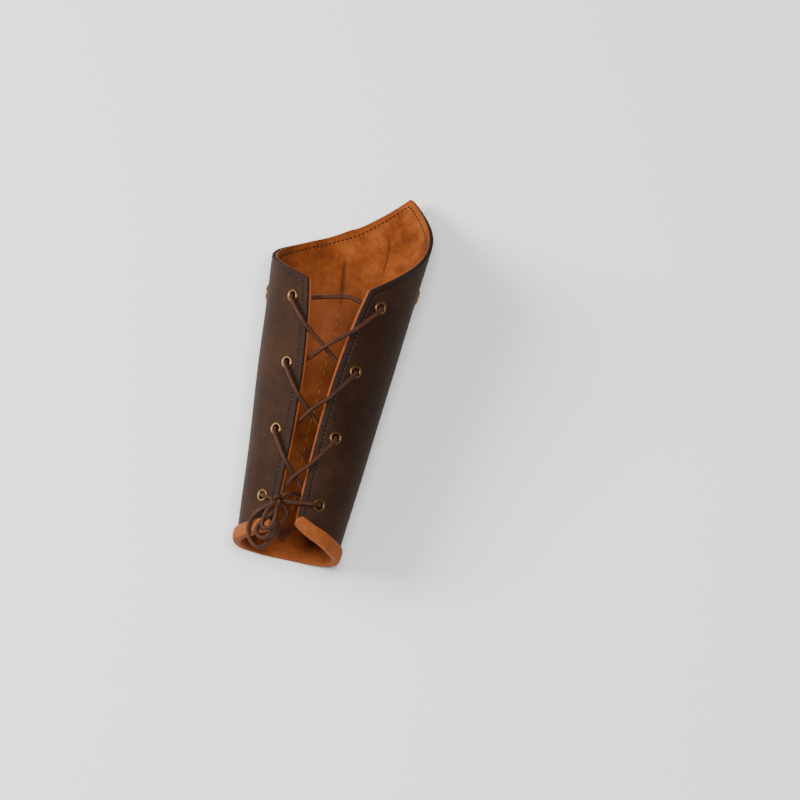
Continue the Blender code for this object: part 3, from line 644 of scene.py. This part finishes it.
def makeLining(material):
    s, b = liningStyle, bracer
    table = columnTable(True)
    turn, height, nearTop, nearSide, _ = wallTable(table, s["foot"], b["liningProud"])
    near = np.minimum(nearTop, nearSide)
    along = np.degrees(turn) * s["perDegree"]
    marks = {}
    press = 0 * turn
    for name, line in creases.items():
        inMetres = [(degrees * s["perDegree"], up, depth) for degrees, up, depth in line]
        marks[name] = creaseMark(along, height, inMetres, s["seamWidth"])
        press = press + s["seamDepth"] * marks[name]
    between = np.clip((turn - math.radians(s["puffFrom"])) * 30, 0, 1)
    between = between * np.clip((math.radians(s["puffTo"]) - turn) * 30, 0, 1)
    puff = s["puff"] * between * np.clip((s["puffTop"] - height) / s["puffFade"], 0, 1)
    stitched = s["stitchPress"] * np.exp(-((near - shellStyle["grooveAt"]) / s["stitchPressWidth"]) ** 2)
    outside = section(turn, height)
    sunk = sunkAround(outside, eyeletSeats, 0.0056, 0.0001)
    wall = b["shell"] + b["lining"]
    face = wallPoint(turn, height, -wall + press + stitched + sunk - puff)
    back = wallPoint(turn, height, 0 * turn - b["shell"] - 0.00002)
    rollFace, rollBack = rollRows(table, columnTurns(table, 0.0, b["liningProud"]))
    face, back = np.vstack([rollFace[::-1], face]), np.vstack([rollBack[::-1], back])
    face[0] = back[0] = (face[0] + back[0]) / 2
    more = len(rollFace)
    full = np.vstack([np.tile(nearSide[0], (more, 1)), near])
    rounding = np.concatenate([np.linspace(s["rollRounding"], s["rounding"], more),
                               np.full(len(near), s["rounding"])])
    face, back = drawnIn(face, back, full, rounding[:, None])
    kept = punch(face, back, eyeletSeats, eyelets["hole"])
    used, faces = closedSheet(face, kept)
    points = lie(np.vstack([face.reshape(-1, 3), back.reshape(-1, 3)])[used], soft=True)
    roll = np.vstack([np.tile(np.linspace(1, 0.0, more)[:, None], (1, full.shape[1])), 0 * near])
    # painted shade along the seam and pocket creases
    creaseShade = np.vstack([np.zeros((more, full.shape[1])), np.maximum(marks["seam"], marks["pocket"])])
    # inside: share of the painted shade tint, by height on the wall and fixed on the roll
    inside = np.vstack([np.full((more, full.shape[1]), 0.4), np.interp(height, *np.array(s["inside"]).T)])
    # painted shade: a darker blotchy band low inside the lining, from 4 mm to 11 cm up, where shade falls
    low = np.clip((0.11 - height) / 0.05, 0, 1) * np.clip((height - 0.004) / 0.008, 0, 1)
    lowShade = np.vstack([np.zeros((more, full.shape[1])), low])
    both = [(label, np.concatenate([v.ravel(), v.ravel()])[used])
            for label, v in (("rim", full * 1000), ("roll", roll), ("creaseShade", creaseShade), ("inside", inside),
                              ("lowShade", lowShade))]
    return meshPiece("liningSuede", points, [faces], material, both, replaced=("lining",))


def turned(profile, sides, frame, closed):
    # a profile of radius, height and wear carried round a fitting's own axis: radius * cosine, radius * sine,
    # height
    axes, origin = frame
    profile = np.array(profile)
    around = np.arange(sides) * 2 * math.pi / sides
    local = np.stack([profile[:, :1] * np.cos(around), profile[:, :1] * np.sin(around),
                      profile[:, 1:2] + 0 * around], -1)
    points = lie(local @ axes + origin).reshape(-1, 3)
    worn = [("worn", np.repeat(profile[:, 2], sides))]
    index = np.arange(len(points)).reshape(len(profile), sides)
    wrapped = np.concatenate([index, index[:, :1]], 1)
    if closed:
        return points, [squares(np.concatenate([wrapped, wrapped[:1]], 0))], worn
    return points, [squares(wrapped), index[:1], index[-1:, ::-1]], worn


def roundedLine(rows, steps):
    # a smooth curve through the rows of a profile
    rows = np.array(rows, float)
    at = np.linspace(0, len(rows) - 1, (len(rows) - 1) * steps + 1)
    order = np.arange(len(rows))
    return np.stack([smoothTable(np.stack([order, rows[:, k]], -1), at) for k in (0, 1, 2)], -1)


def makeEyelets(material):
    # a barrel through both leathers whose ends are rolled outwards into a collar on each face
    e, b = eyelets, bracer
    bore, rim, back = e["bore"] / 2, e["radius"], e["backRadius"]
    deep = -b["shell"] - b["lining"]
    front = -e["sink"]
    rows = (
        (bore + e["metal"], front, 0), (rim - 0.0002, front, 0), (rim, front + 0.00022, 0),
        (rim - 0.0005, front + 0.00062, 0.25), (rim - 0.0011, front + 0.00082, 0.9),
        (bore + 0.0003, front + 0.00068, 1), (bore, front + 0.0001, 0.35), (bore, deep / 2, 0),
        (bore, deep + 0.0001, 0), (bore + 0.0003, deep - 0.00045, 0.6), (back - 0.0008, deep - 0.00055, 0.8),
        (back - 0.0001, deep - 0.00028, 0.2), (back - 0.0001, deep + 0.00004, 0),
        (bore + e["metal"], deep + 0.00004, 0),
    )
    profile = roundedLine([*rows, rows[0]], 3)[:-1]
    names = [f"eyelet_{word}_{row + 1}" for word in ("left", "right") for row in range(e["rows"])]
    for name, frame in zip(names, eyeletSeats):
        points, faces, worn = turned(profile, e["sides"], frame, True)
        words = name.split("_")
        meshPiece("eyelet" + words[1].title() + words[2], points, faces, material, worn,
                  replaced=(name,))


def makeRivets(material):
    # a domed head, its height the crown times the square root of one less the squared share of the radius
    r = rivets
    angle = np.linspace(math.pi / 2, 0, 14)
    dome = np.stack([np.maximum(np.cos(angle) * r["radius"], 0.00012),
                     r["brim"] - r["sink"] + (r["crown"] - r["brim"]) * np.sin(angle),
                     0.25 + 0.75 * np.sin(angle)], -1)
    low = -r["sink"]
    rest = np.array([(r["radius"] + 0.00005, r["brim"] * 0.6 + low, 0.1),
                     (r["radius"] - 0.0001, 0.0001 + low, 0),
                     (r["radius"] - 0.0005, low, 0), (r["post"], low, 0), (r["post"], -bracer["shell"], 0),
                     (0.00012, -bracer["shell"], 0)])
    for (name, _, _), frame in zip(r["places"], rivetSeats):
        points, faces, worn = turned(np.vstack([dome, rest]), r["sides"], frame, False)
        words = name.split("_")
        label = "rivet" + "".join(w.title() for w in words[1:])
        meshPiece(label, points, faces, material, worn, replaced=(name,))


stitchStyle = dict(pitch=0.0029, length=0.0021, width=0.00055, thick=0.00036, rise=0.00010,
                   insideWidth=0.00105, insideThick=0.0005, insideRise=0.0002, inset=0.0043,
                   seamPitch=0.0066, seamLength=0.0044,
                   seamLine=((0.030, 181.5), (0.0865, 181.5), (0.1095, 180.3), (0.124, 180), (0.144, 179.75),
                             (0.1525, 179), (0.166, 179.5), (0.178, 179.8)))


def stitchRow(turn, height, out, pitch, length, inwards, seed):
    # stitches at an even pitch along a line on the wall: where each lies, its way, and straight out
    line = wallPoint(turn, height, out + 0 * turn)
    run = np.concatenate([[0], np.cumsum(np.linalg.norm(np.diff(line, axis=0), axis=1))])
    rng = np.random.default_rng(seed)
    count = int(run[-1] / pitch)
    start = (np.arange(count) + 0.5) * run[-1] / count + rng.uniform(-0.04, 0.04, count) * pitch
    at = lambda s: np.stack([np.interp(s, run, line[:, k]) for k in range(3)], -1)
    t, h = np.interp(start, run, turn), np.interp(start, run, height)
    first, last = at(start - length / 2), at(start + length / 2)
    return (first + last) / 2, unit(last - first), outwards(t, h) * (-1 if inwards else 1)


def stitchMesh(rows, length, width, thick, rise):
    # each stitch is a short flattened thread: rings of six points on an arch that dips in at both ends
    middle, ahead, out = (np.vstack(part) for part in zip(*rows))
    across = np.cross(ahead, out)
    t = np.linspace(-1, 1, 5)[None, :, None, None]
    around = (np.arange(6) * math.pi / 3)[None, None, :, None]
    full = np.sqrt(1 - 0.85 * t**2)
    m, a, o, c = (v[:, None, None, :] for v in (middle, ahead, out, across))
    points = (m + a * t * length / 2 + c * np.cos(around) * width / 2 * full
              + o * (np.sin(around) * thick / 2 * full + rise * (1 - 2.6 * t**2)))
    index = np.arange(len(middle) * 30).reshape(len(middle), 5, 6)
    wrapped = np.concatenate([index, index[:, :, :1]], 2)
    body = np.stack([wrapped[:, :-1, :-1], wrapped[:, 1:, :-1], wrapped[:, 1:, 1:], wrapped[:, :-1, 1:]], -1)
    return lie(points), [body.reshape(-1, 4), index[:, 0], index[:, -1, ::-1]]


def stitchLine():
    # one line all round at an even distance from the cut edges: up one flap, over the peak, down the other
    b, inset = bracer, stitchStyle["inset"]
    rise = b["flapLength"] - b["flapRise"]
    up = np.linspace(0.035, 1, 300)
    cornerUp = []
    for side in (1, -1):
        turn = flapTurn(side, up) + side * inset / halfWidth(flapHeight(up))
        room = edgeDistance(turn, flapHeight(up))[1]
        cornerUp.append(float(np.interp(inset, room[::-1], up[::-1])))
    right = np.linspace(0.035, cornerUp[0], 200)
    left = np.linspace(cornerUp[1], 0.035, 200)
    rightTurn = flapTurn(1, right) + inset / halfWidth(flapHeight(right))
    leftTurn = flapTurn(-1, left) - inset / halfWidth(flapHeight(left))
    over = np.linspace(rightTurn[-1], leftTurn[0], 700)[1:-1]
    steep = np.maximum(np.abs(topEdge(over + 0.03) - topEdge(over)),
                       np.abs(topEdge(over) - topEdge(over - 0.03)))
    steep = steep / (0.03 * halfWidth(topEdge(over)))
    overUp = topEdge(over) - inset * np.sqrt(1 + steep**2)
    return (np.concatenate([rightTurn, over, leftTurn]),
            np.concatenate([b["flapRise"] + right * rise, overUp, b["flapRise"] + left * rise]))


def makeStitches(outsideThread, insideThread, seamThread):
    s, b = stitchStyle, bracer
    turn, height = stitchLine()
    wall = b["shell"] + b["lining"]
    size = (s["length"], s["width"], s["thick"], s["rise"])
    outside = stitchRow(turn, height, -shellStyle["groove"] + 0.00008, s["pitch"], s["length"], False, 3)
    points, faces = stitchMesh([outside], *size)
    meshPiece("shellStitches", points, faces, outsideThread)
    inside = stitchRow(turn, height, -wall + 0.0001, s["pitch"], s["length"], True, 3)
    points, faces = stitchMesh([inside], s["length"], s["insideWidth"], s["insideThick"], s["insideRise"])
    meshPiece("liningStitches", points, faces, insideThread)
    up = np.linspace(0.030, 0.178, 400)
    middle = np.radians(smoothTable(s["seamLine"], up))
    seam = stitchRow(middle, up, -wall + 0.00004, s["seamPitch"], s["seamLength"], True, 5)
    points, faces = stitchMesh([seam], s["seamLength"], 0.00048, 0.0004, 0.00012)
    meshPiece("seamStitches", points, faces, seamThread)


def place(tree, kind, values=(), **settings):
    # a node with its settings, and its inputs given as numbers, colours or other nodes' outputs
    node = tree.nodes.new(kind)
    for key, value in settings.items():
        setattr(node, key, value)
    for key, value in dict(values).items():
        if isinstance(value, bpy.types.NodeSocket):
            tree.links.new(value, node.inputs[key])
        else:
            node.inputs[key].default_value = value
    return node


def maths(tree, operation, first, second=0.5, clamp=False):
    node = place(tree, "ShaderNodeMath", {0: first, 1: second}, operation=operation, use_clamp=clamp)
    return node.outputs[0]


def blendColour(tree, share, first, second, kind="MIX"):
    return place(tree, "ShaderNodeMix", {0: share, 6: first, 7: second}, data_type="RGBA",
                 blend_type=kind).outputs[2]


def ramp(tree, value, stops):
    node = place(tree, "ShaderNodeValToRGB", {0: value})
    line = node.color_ramp
    while len(line.elements) < len(stops):
        line.elements.new(0.5)
    for element, (spot, colour) in zip(line.elements, stops):
        element.position, element.color = spot, (*colour, 1) if len(colour) == 3 else colour
    return node.outputs[0]


def noise(tree, where, scale, detail=3.0, rough=0.55, stretch=None):
    if stretch:
        where = place(tree, "ShaderNodeMapping", {0: where, 3: stretch}).outputs[0]
    return place(tree, "ShaderNodeTexNoise", {"Vector": where, "Scale": scale, "Detail": detail,
                                              "Roughness": rough}).outputs[0]


def above(tree, value, level, gain):
    # how far a value is above a level, times a gain, held between 0 and 1
    return maths(tree, "MULTIPLY", maths(tree, "SUBTRACT", value, level), gain, clamp=True)


def withShare(tree, base, value, share):
    # a base, a number or a socket, plus a share of a value
    return maths(tree, "ADD", base, maths(tree, "MULTIPLY", value, share))


def mixture(tree, first, share, second, otherShare):
    # a share of one value plus a share of another
    return maths(tree, "ADD", maths(tree, "MULTIPLY", first, share),
                 maths(tree, "MULTIPLY", second, otherShare))


vectorSocket, numberSocket = "NodeSocketVector", "NodeSocketFloat"


def newGroup(name, inputs, outputs):
    # an empty shader group with named inputs, each with its usual value, and named outputs
    group = bpy.data.node_groups.new(name, "ShaderNodeTree")
    for label, kind, value in inputs:
        socket = group.interface.new_socket(label, in_out="INPUT", socket_type=kind)
        if value is not None:
            socket.default_value = value
    for label, kind in outputs:
        group.interface.new_socket(label, in_out="OUTPUT", socket_type=kind)
    return group, group.nodes.new("NodeGroupInput"), group.nodes.new("NodeGroupOutput")


def makeHideGrain():
    # pores and fine wrinkles of a grain leather: a pebble pattern, crossed by long faint wrinkles
    group, given, out = newGroup(
        "hideGrain",
        (("Place", vectorSocket, None), ("Size", numberSocket, 900.0), ("Wrinkles", numberSocket, 0.35)),
        (("Height", numberSocket), ("Pores", numberSocket)))
    where = given.outputs["Place"]
    cells = place(group, "ShaderNodeTexVoronoi", {"Vector": where, "Scale": given.outputs["Size"]},
                  feature="DISTANCE_TO_EDGE").outputs[0]
    pebble = maths(group, "MINIMUM", maths(group, "MULTIPLY", cells, 3.2), 1.0)
    fine = noise(group, where, 2600.0, 2.0)
    creased = noise(group, where, 95.0, 4.0, 0.6, (1.0, 0.35, 1.0))
    wrinkle = maths(group, "ABSOLUTE", maths(group, "SUBTRACT", creased, 0.5))
    wrinkle = maths(group, "MINIMUM", maths(group, "MULTIPLY", wrinkle, 9.0), 1.0)
    wrinkle = maths(group, "MULTIPLY", maths(group, "SUBTRACT", wrinkle, 1.0), given.outputs["Wrinkles"])
    total = mixture(group, pebble, 0.55, fine, 0.25)
    group.links.new(maths(group, "ADD", total, wrinkle), out.inputs["Height"])
    group.links.new(maths(group, "SUBTRACT", 1.0, pebble), out.inputs["Pores"])
    return group


def makeHandling():
    # cloudy unevenness from wear and handling, at two sizes, and sparse pale scuffs
    group, given, out = newGroup(
        "handling",
        (("Place", vectorSocket, None), ("Cloud Size", numberSocket, 26.0),
         ("Scuff Size", numberSocket, 160.0)),
        (("Clouds", numberSocket), ("Scuffs", numberSocket)))
    where = given.outputs["Place"]
    broad = noise(group, where, given.outputs["Cloud Size"], 5.0, 0.6)
    small = noise(group, where, given.outputs["Scuff Size"], 4.0, 0.7)
    group.links.new(mixture(group, broad, 0.72, small, 0.28), out.inputs["Clouds"])
    group.links.new(above(group, small, 0.62, 7.0), out.inputs["Scuffs"])
    return group


def makeNap():
    # the cut fibres of suede: short strokes in two directions that lie over each other
    group, given, out = newGroup(
        "suedeNap",
        (("Place", vectorSocket, None), ("Size", numberSocket, 700.0)),
        (("Height", numberSocket), ("Flecks", numberSocket)))
    where, size = given.outputs["Place"], given.outputs["Size"]
    first = noise(group, where, size, 4.0, 0.7, (1.0, 0.4, 1.0))
    second = noise(group, where, size, 4.0, 0.7, (0.45, 1.0, 0.8))
    brushed = noise(group, where, 120.0, 3.0, 0.6, (1.0, 0.5, 1.0))
    strokes = mixture(group, first, 0.5, second, 0.5)
    group.links.new(withShare(group, strokes, brushed, 0.4), out.inputs["Height"])
    group.links.new(above(group, strokes, 0.4, 4.0), out.inputs["Flecks"])
    return group


def makePatina():
    # dull spots and fine handling scratches on soft metal
    group, given, out = newGroup(
        "patina",
        (("Place", vectorSocket, None), ("Spot Size", numberSocket, 420.0)),
        (("Tarnish", numberSocket), ("Height", numberSocket)))
    where = given.outputs["Place"]
    spots = noise(group, where, given.outputs["Spot Size"], 5.0, 0.65)
    group.links.new(above(group, spots, 0.42, 4.0), out.inputs["Tarnish"])
    scratch = noise(group, where, 1400.0, 2.0, 0.5, (1.0, 0.08, 0.3))
    group.links.new(mixture(group, spots, 0.6, scratch, 0.4), out.inputs["Height"])
    return group


def makeThread():
    # fibres that run slantwise round a twisted cord, from its map: across it and along it
    group, given, out = newGroup(
        "threadTwist",
        (("Run", vectorSocket, None), ("Turns", numberSocket, 14.0), ("Lay", numberSocket, 9.0)),
        (("Height", numberSocket), ("Shade", numberSocket)))
    parts = place(group, "ShaderNodeSeparateXYZ", {0: given.outputs["Run"]})
    slant = maths(group, "ADD", maths(group, "MULTIPLY", parts.outputs[1], given.outputs["Turns"]),
                  maths(group, "MULTIPLY", parts.outputs[0], given.outputs["Lay"]))
    wave = maths(group, "SINE", maths(group, "MULTIPLY", slant, 6.2832))
    fibre = place(group, "ShaderNodeTexNoise", {"Vector": place(group, "ShaderNodeMapping", {
        0: given.outputs["Run"], 3: (26.0, 60.0, 1.0)}).outputs[0], "Scale": 1.0, "Detail": 3.0}).outputs[0]
    group.links.new(maths(group, "ADD", maths(group, "MULTIPLY", wave, 0.35), fibre), out.inputs["Height"])
    group.links.new(fibre, out.inputs["Shade"])
    return group


hideGrain, handling, suedeNap, patina, threadTwist = (make() for make in (
    makeHideGrain, makeHandling, makeNap, makePatina, makeThread))


def newMaterial(name, **constants):
    material = bpy.data.materials.new(name)
    material.use_nodes = True
    tree = material.node_tree
    shader = tree.nodes["Principled BSDF"]
    for key, value in constants.items():
        shader.inputs[key.replace("_", " ")].default_value = value
    return material, tree, shader, place(tree, "ShaderNodeTexCoord").outputs["Object"]


def groupNode(tree, group, values):
    node = place(tree, "ShaderNodeGroup", node_tree=group)
    for key, value in values.items():
        if isinstance(value, bpy.types.NodeSocket):
            tree.links.new(value, node.inputs[key])
        else:
            node.inputs[key].default_value = value
    return node.outputs


def mark(tree, name):
    return place(tree, "ShaderNodeAttribute", attribute_name=name).outputs["Fac"]


def bump(tree, shader, height, strength, distance):
    tree.links.new(place(tree, "ShaderNodeBump", {"Strength": strength, "Distance": distance,
                                                  "Height": height}).outputs[0], shader.inputs["Normal"])


# groove: painted shade for the stitch groove
darkLeather = dict(deep=(0.0160, 0.0072, 0.0042), usual=(0.0275, 0.0122, 0.0066),
                   worn=(0.0450, 0.0205, 0.0108), cutEdge=(0.0090, 0.0075, 0.0080),
                   fray=(0.038, 0.035, 0.036), band=(0.021, 0.0122, 0.0098),
                   groove=(0.008, 0.0045, 0.0038), grainSize=1050.0)


def makeDarkLeather():
    v = darkLeather
    material, tree, shader, where = newMaterial("darkLeather", Specular_IOR_Level=0.045)
    grain = groupNode(tree, hideGrain, {"Place": where, "Size": v["grainSize"], "Wrinkles": 0.3})
    worn = groupNode(tree, handling, {"Place": where, "Cloud Size": 22.0, "Scuff Size": 150.0})
    colour = ramp(tree, worn["Clouds"], ((0.36, v["deep"]), (0.5, v["usual"]), (0.66, v["worn"])))
    colour = blendColour(tree, maths(tree, "MULTIPLY", worn["Scuffs"], 0.35), colour, (*v["worn"], 1))
    colour = blendColour(tree, maths(tree, "MULTIPLY", grain["Pores"], 0.5), colour, (*v["deep"], 1))
    rim = mark(tree, "rim")
    band = maths(tree, "LESS_THAN", rim, 4.1)
    colour = blendColour(tree, maths(tree, "MULTIPLY", band, 0.45), colour, (*v["band"], 1))
    cut = maths(tree, "SUBTRACT", 1.0, maths(tree, "MULTIPLY", rim, 0.9), clamp=True)
    colour = blendColour(tree, maths(tree, "MULTIPLY", cut, 0.85), colour, (*v["cutEdge"], 1))
    # grey frayed fibres on the cut edge, with a painted highlight where the edge catches the light
    frayGlintSpots = above(tree, noise(tree, where, 210.0, 5.0, 0.75), 0.53, 7.0)
    colour = blendColour(tree, maths(tree, "MULTIPLY", frayGlintSpots, cut), colour, (*v["fray"], 1))
    # painted shade in the stitch groove
    line = mark(tree, "line")
    colour = blendColour(tree, maths(tree, "MULTIPLY", line, 0.75), colour, (*v["groove"], 1))
    tree.links.new(colour, shader.inputs["Base Color"])
    rough = withShare(tree, 0.46, worn["Clouds"], 0.26)
    rough = withShare(tree, rough, cut, 0.2)
    tree.links.new(rough, shader.inputs["Roughness"])
    bump(tree, shader, grain["Height"], 0.35, 0.00022)
    return material


# inside: a painted shade tint, paler and greyer where the lining lies in shade
tanSuede = dict(dark=(0.105, 0.0235, 0.0050), usual=(0.170, 0.0400, 0.0072), pale=(0.225, 0.0620, 0.0125),
                inside=(0.330, 0.1000, 0.0360), lowShadeColour=(0.045, 0.0200, 0.0160), creaseShade=(0.045, 0.013, 0.006),
                edge=(0.21, 0.048, 0.010), roll=(0.265, 0.0770, 0.0195), matted=(0.105, 0.0285, 0.0075))


def makeTanSuede():
    v = tanSuede
    material, tree, shader, where = newMaterial("tanSuede", Specular_IOR_Level=0.08, Sheen_Weight=0.03,
                                                Sheen_Roughness=0.5, Sheen_Tint=(1.0, 0.62, 0.32, 1))
    nap = groupNode(tree, suedeNap, {"Place": where, "Size": 560.0})
    worn = groupNode(tree, handling, {"Place": where, "Cloud Size": 55.0, "Scuff Size": 240.0})
    colour = ramp(tree, worn["Clouds"], ((0.38, v["dark"]), (0.5, v["usual"]), (0.63, v["pale"])))
    # painted shade tint: paler, greyer colour where the inside lies in shade
    colour = blendColour(tree, maths(tree, "MULTIPLY", mark(tree, "inside"), 0.6), colour, (*v["inside"], 1))
    colour = blendColour(tree, maths(tree, "MULTIPLY", mark(tree, "roll"), 0.6), colour, (*v["roll"], 1))
    # painted shade: dark blotches low inside the lining, where shade falls
    lowShadeBlotches = above(tree, noise(tree, where, 62.0, 3.0, 0.5), 0.53, 8.0)
    lowShadeBlotches = maths(tree, "MULTIPLY", lowShadeBlotches, maths(tree, "MULTIPLY", mark(tree, "lowShade"), 0.75))
    colour = blendColour(tree, lowShadeBlotches, colour, (*v["lowShadeColour"], 1))
    felt = maths(tree, "MULTIPLY", nap["Flecks"], 0.42)
    colour = blendColour(tree, felt, colour, (0.62, 0.56, 0.48, 1), "MULTIPLY")
    tufts = above(tree, noise(tree, where, 330.0, 4.0, 0.8), 0.5, 3.2)
    tufts = maths(tree, "MULTIPLY", tufts, mark(tree, "roll"))
    colour = blendColour(tree, tufts, colour, (*v["matted"], 1))
    # painted shade in the lining's creases
    colour = blendColour(tree, maths(tree, "MULTIPLY", mark(tree, "creaseShade"), 0.8), colour, (*v["creaseShade"], 1))
    cut = maths(tree, "SUBTRACT", 1.0, maths(tree, "MULTIPLY", mark(tree, "rim"), 1.4), clamp=True)
    colour = blendColour(tree, maths(tree, "MULTIPLY", cut, 0.6), colour, (*v["edge"], 1))
    tree.links.new(colour, shader.inputs["Base Color"])
    tree.links.new(withShare(tree, 0.8, nap["Flecks"], 0.15), shader.inputs["Roughness"])
    bump(tree, shader, nap["Height"], 0.9, 0.0009)
    return material


def makeMetal(name, bright, dull, rough, spots):
    # tarnish lies where nothing rubs; the worn crests stay bright but for a few spots
    material, tree, shader, where = newMaterial(name)
    aged = groupNode(tree, patina, {"Place": where, "Spot Size": spots})
    kept = maths(tree, "ADD", maths(tree, "MULTIPLY", aged["Tarnish"], 0.6), 0.4)
    tarnish = maths(tree, "SUBTRACT", kept, maths(tree, "MULTIPLY", mark(tree, "worn"), 0.62), clamp=True)
    tree.links.new(blendColour(tree, tarnish, (*bright, 1), (*dull, 1)), shader.inputs["Base Color"])
    metallic = maths(tree, "SUBTRACT", 1.0, maths(tree, "MULTIPLY", tarnish, 0.35))
    tree.links.new(metallic, shader.inputs["Metallic"])
    tree.links.new(withShare(tree, rough, tarnish, 0.3), shader.inputs["Roughness"])
    bump(tree, shader, aged["Height"], 0.25, 0.0001)
    return material


def makeCordMaterial(name, deep, pale, turns, lay, rough):
    material, tree, shader, where = newMaterial(name, Specular_IOR_Level=0.09)
    run = place(tree, "ShaderNodeUVMap", uv_map="run").outputs[0]
    twist = groupNode(tree, threadTwist, {"Run": run, "Turns": turns, "Lay": lay})
    worn = groupNode(tree, handling, {"Place": where, "Cloud Size": 90.0, "Scuff Size": 420.0})
    share = maths(tree, "MULTIPLY", maths(tree, "ADD", twist["Shade"], worn["Clouds"]), 0.5)
    colour = ramp(tree, share, ((0.38, deep), (0.62, pale)))
    tree.links.new(colour, shader.inputs["Base Color"])
    tree.links.new(withShare(tree, rough, worn["Scuffs"], 0.2), shader.inputs["Roughness"])
    bump(tree, shader, twist["Height"], 0.4, 0.00012)
    return material


def makeThreadMaterial(name, deep, pale):
    material, tree, shader, where = newMaterial(name, Specular_IOR_Level=0.2)
    worn = groupNode(tree, handling, {"Place": where, "Cloud Size": 300.0, "Scuff Size": 1500.0})
    tree.links.new(ramp(tree, worn["Clouds"], ((0.4, deep), (0.6, pale))), shader.inputs["Base Color"])
    tree.links.new(withShare(tree, 0.5, worn["Clouds"], 0.2), shader.inputs["Roughness"])
    bump(tree, shader, noise(tree, where, 3800.0, 2.0), 0.4, 0.0001)
    return material


leather, suede = makeDarkLeather(), makeTanSuede()
brass = makeMetal("agedBrass", (0.190, 0.098, 0.032), (0.022, 0.011, 0.006), 0.30, 420.0)
copper = makeMetal("copperBrass", (0.47, 0.200, 0.050), (0.13, 0.044, 0.013), 0.24, 300.0)
lacing = makeCordMaterial("brownCord", (0.019, 0.0070, 0.0042), (0.066, 0.0240, 0.0120), 12.0, 7.0, 0.52)
greyThread = makeThreadMaterial("outsideThread", (0.014, 0.0095, 0.0080), (0.060, 0.048, 0.042))
darkThread = makeThreadMaterial("insideThread", (0.006, 0.0032, 0.0026), (0.018, 0.0085, 0.006))
goldThread = makeThreadMaterial("seamThread", (0.34, 0.125, 0.035), (0.55, 0.26, 0.085))
print("materials made")

makeCords(lacing)
print("cords made")
makeShell(leather)
makeLining(suede)
print("leather made")
makeEyelets(brass)
makeRivets(copper)
makeStitches(greyThread, darkThread, goldThread)
print("fittings and stitches made")

studio = dict(
    floor=(0.92, 0.915, 0.905), world=0.26,
    lamps=(("keyLamp", (-1.6, -0.15, 1.15), 0.9, 66.0), ("topLamp", (0.05, -0.35, 2.3), 0.8, 58.0)),
)


def makeStudio(v):
    mesh = bpy.data.meshes.new("floor")
    mesh.from_pydata([(-6, -6, 0), (6, -6, 0), (6, 6, 0), (-6, 6, 0)], [], [(0, 1, 2, 3)])
    floor = bpy.data.objects.new("floor", mesh)
    bpy.context.scene.collection.objects.link(floor)
    paint = bpy.data.materials.new("floorPaint")
    paint.use_nodes = True
    paint.node_tree.nodes["Principled BSDF"].inputs["Base Color"].default_value = (*v["floor"], 1)
    paint.node_tree.nodes["Principled BSDF"].inputs["Roughness"].default_value = 0.9
    mesh.materials.append(paint)
    for name, spot, size, power in v["lamps"]:
        light = bpy.data.lights.new(name, "AREA")
        light.size, light.energy = size, power
        lamp = bpy.data.objects.new(name, light)
        bpy.context.scene.collection.objects.link(lamp)
        lamp.location = spot
        lamp.rotation_euler = Vector(spot).to_track_quat("Z", "Y").to_euler()
    world = bpy.data.worlds.new("studio")
    bpy.context.scene.world = world
    world.use_nodes = True
    world.node_tree.nodes["Background"].inputs[0].default_value = (1, 1, 1, 1)
    world.node_tree.nodes["Background"].inputs[1].default_value = v["world"]


makeStudio(studio)
print("studio made")
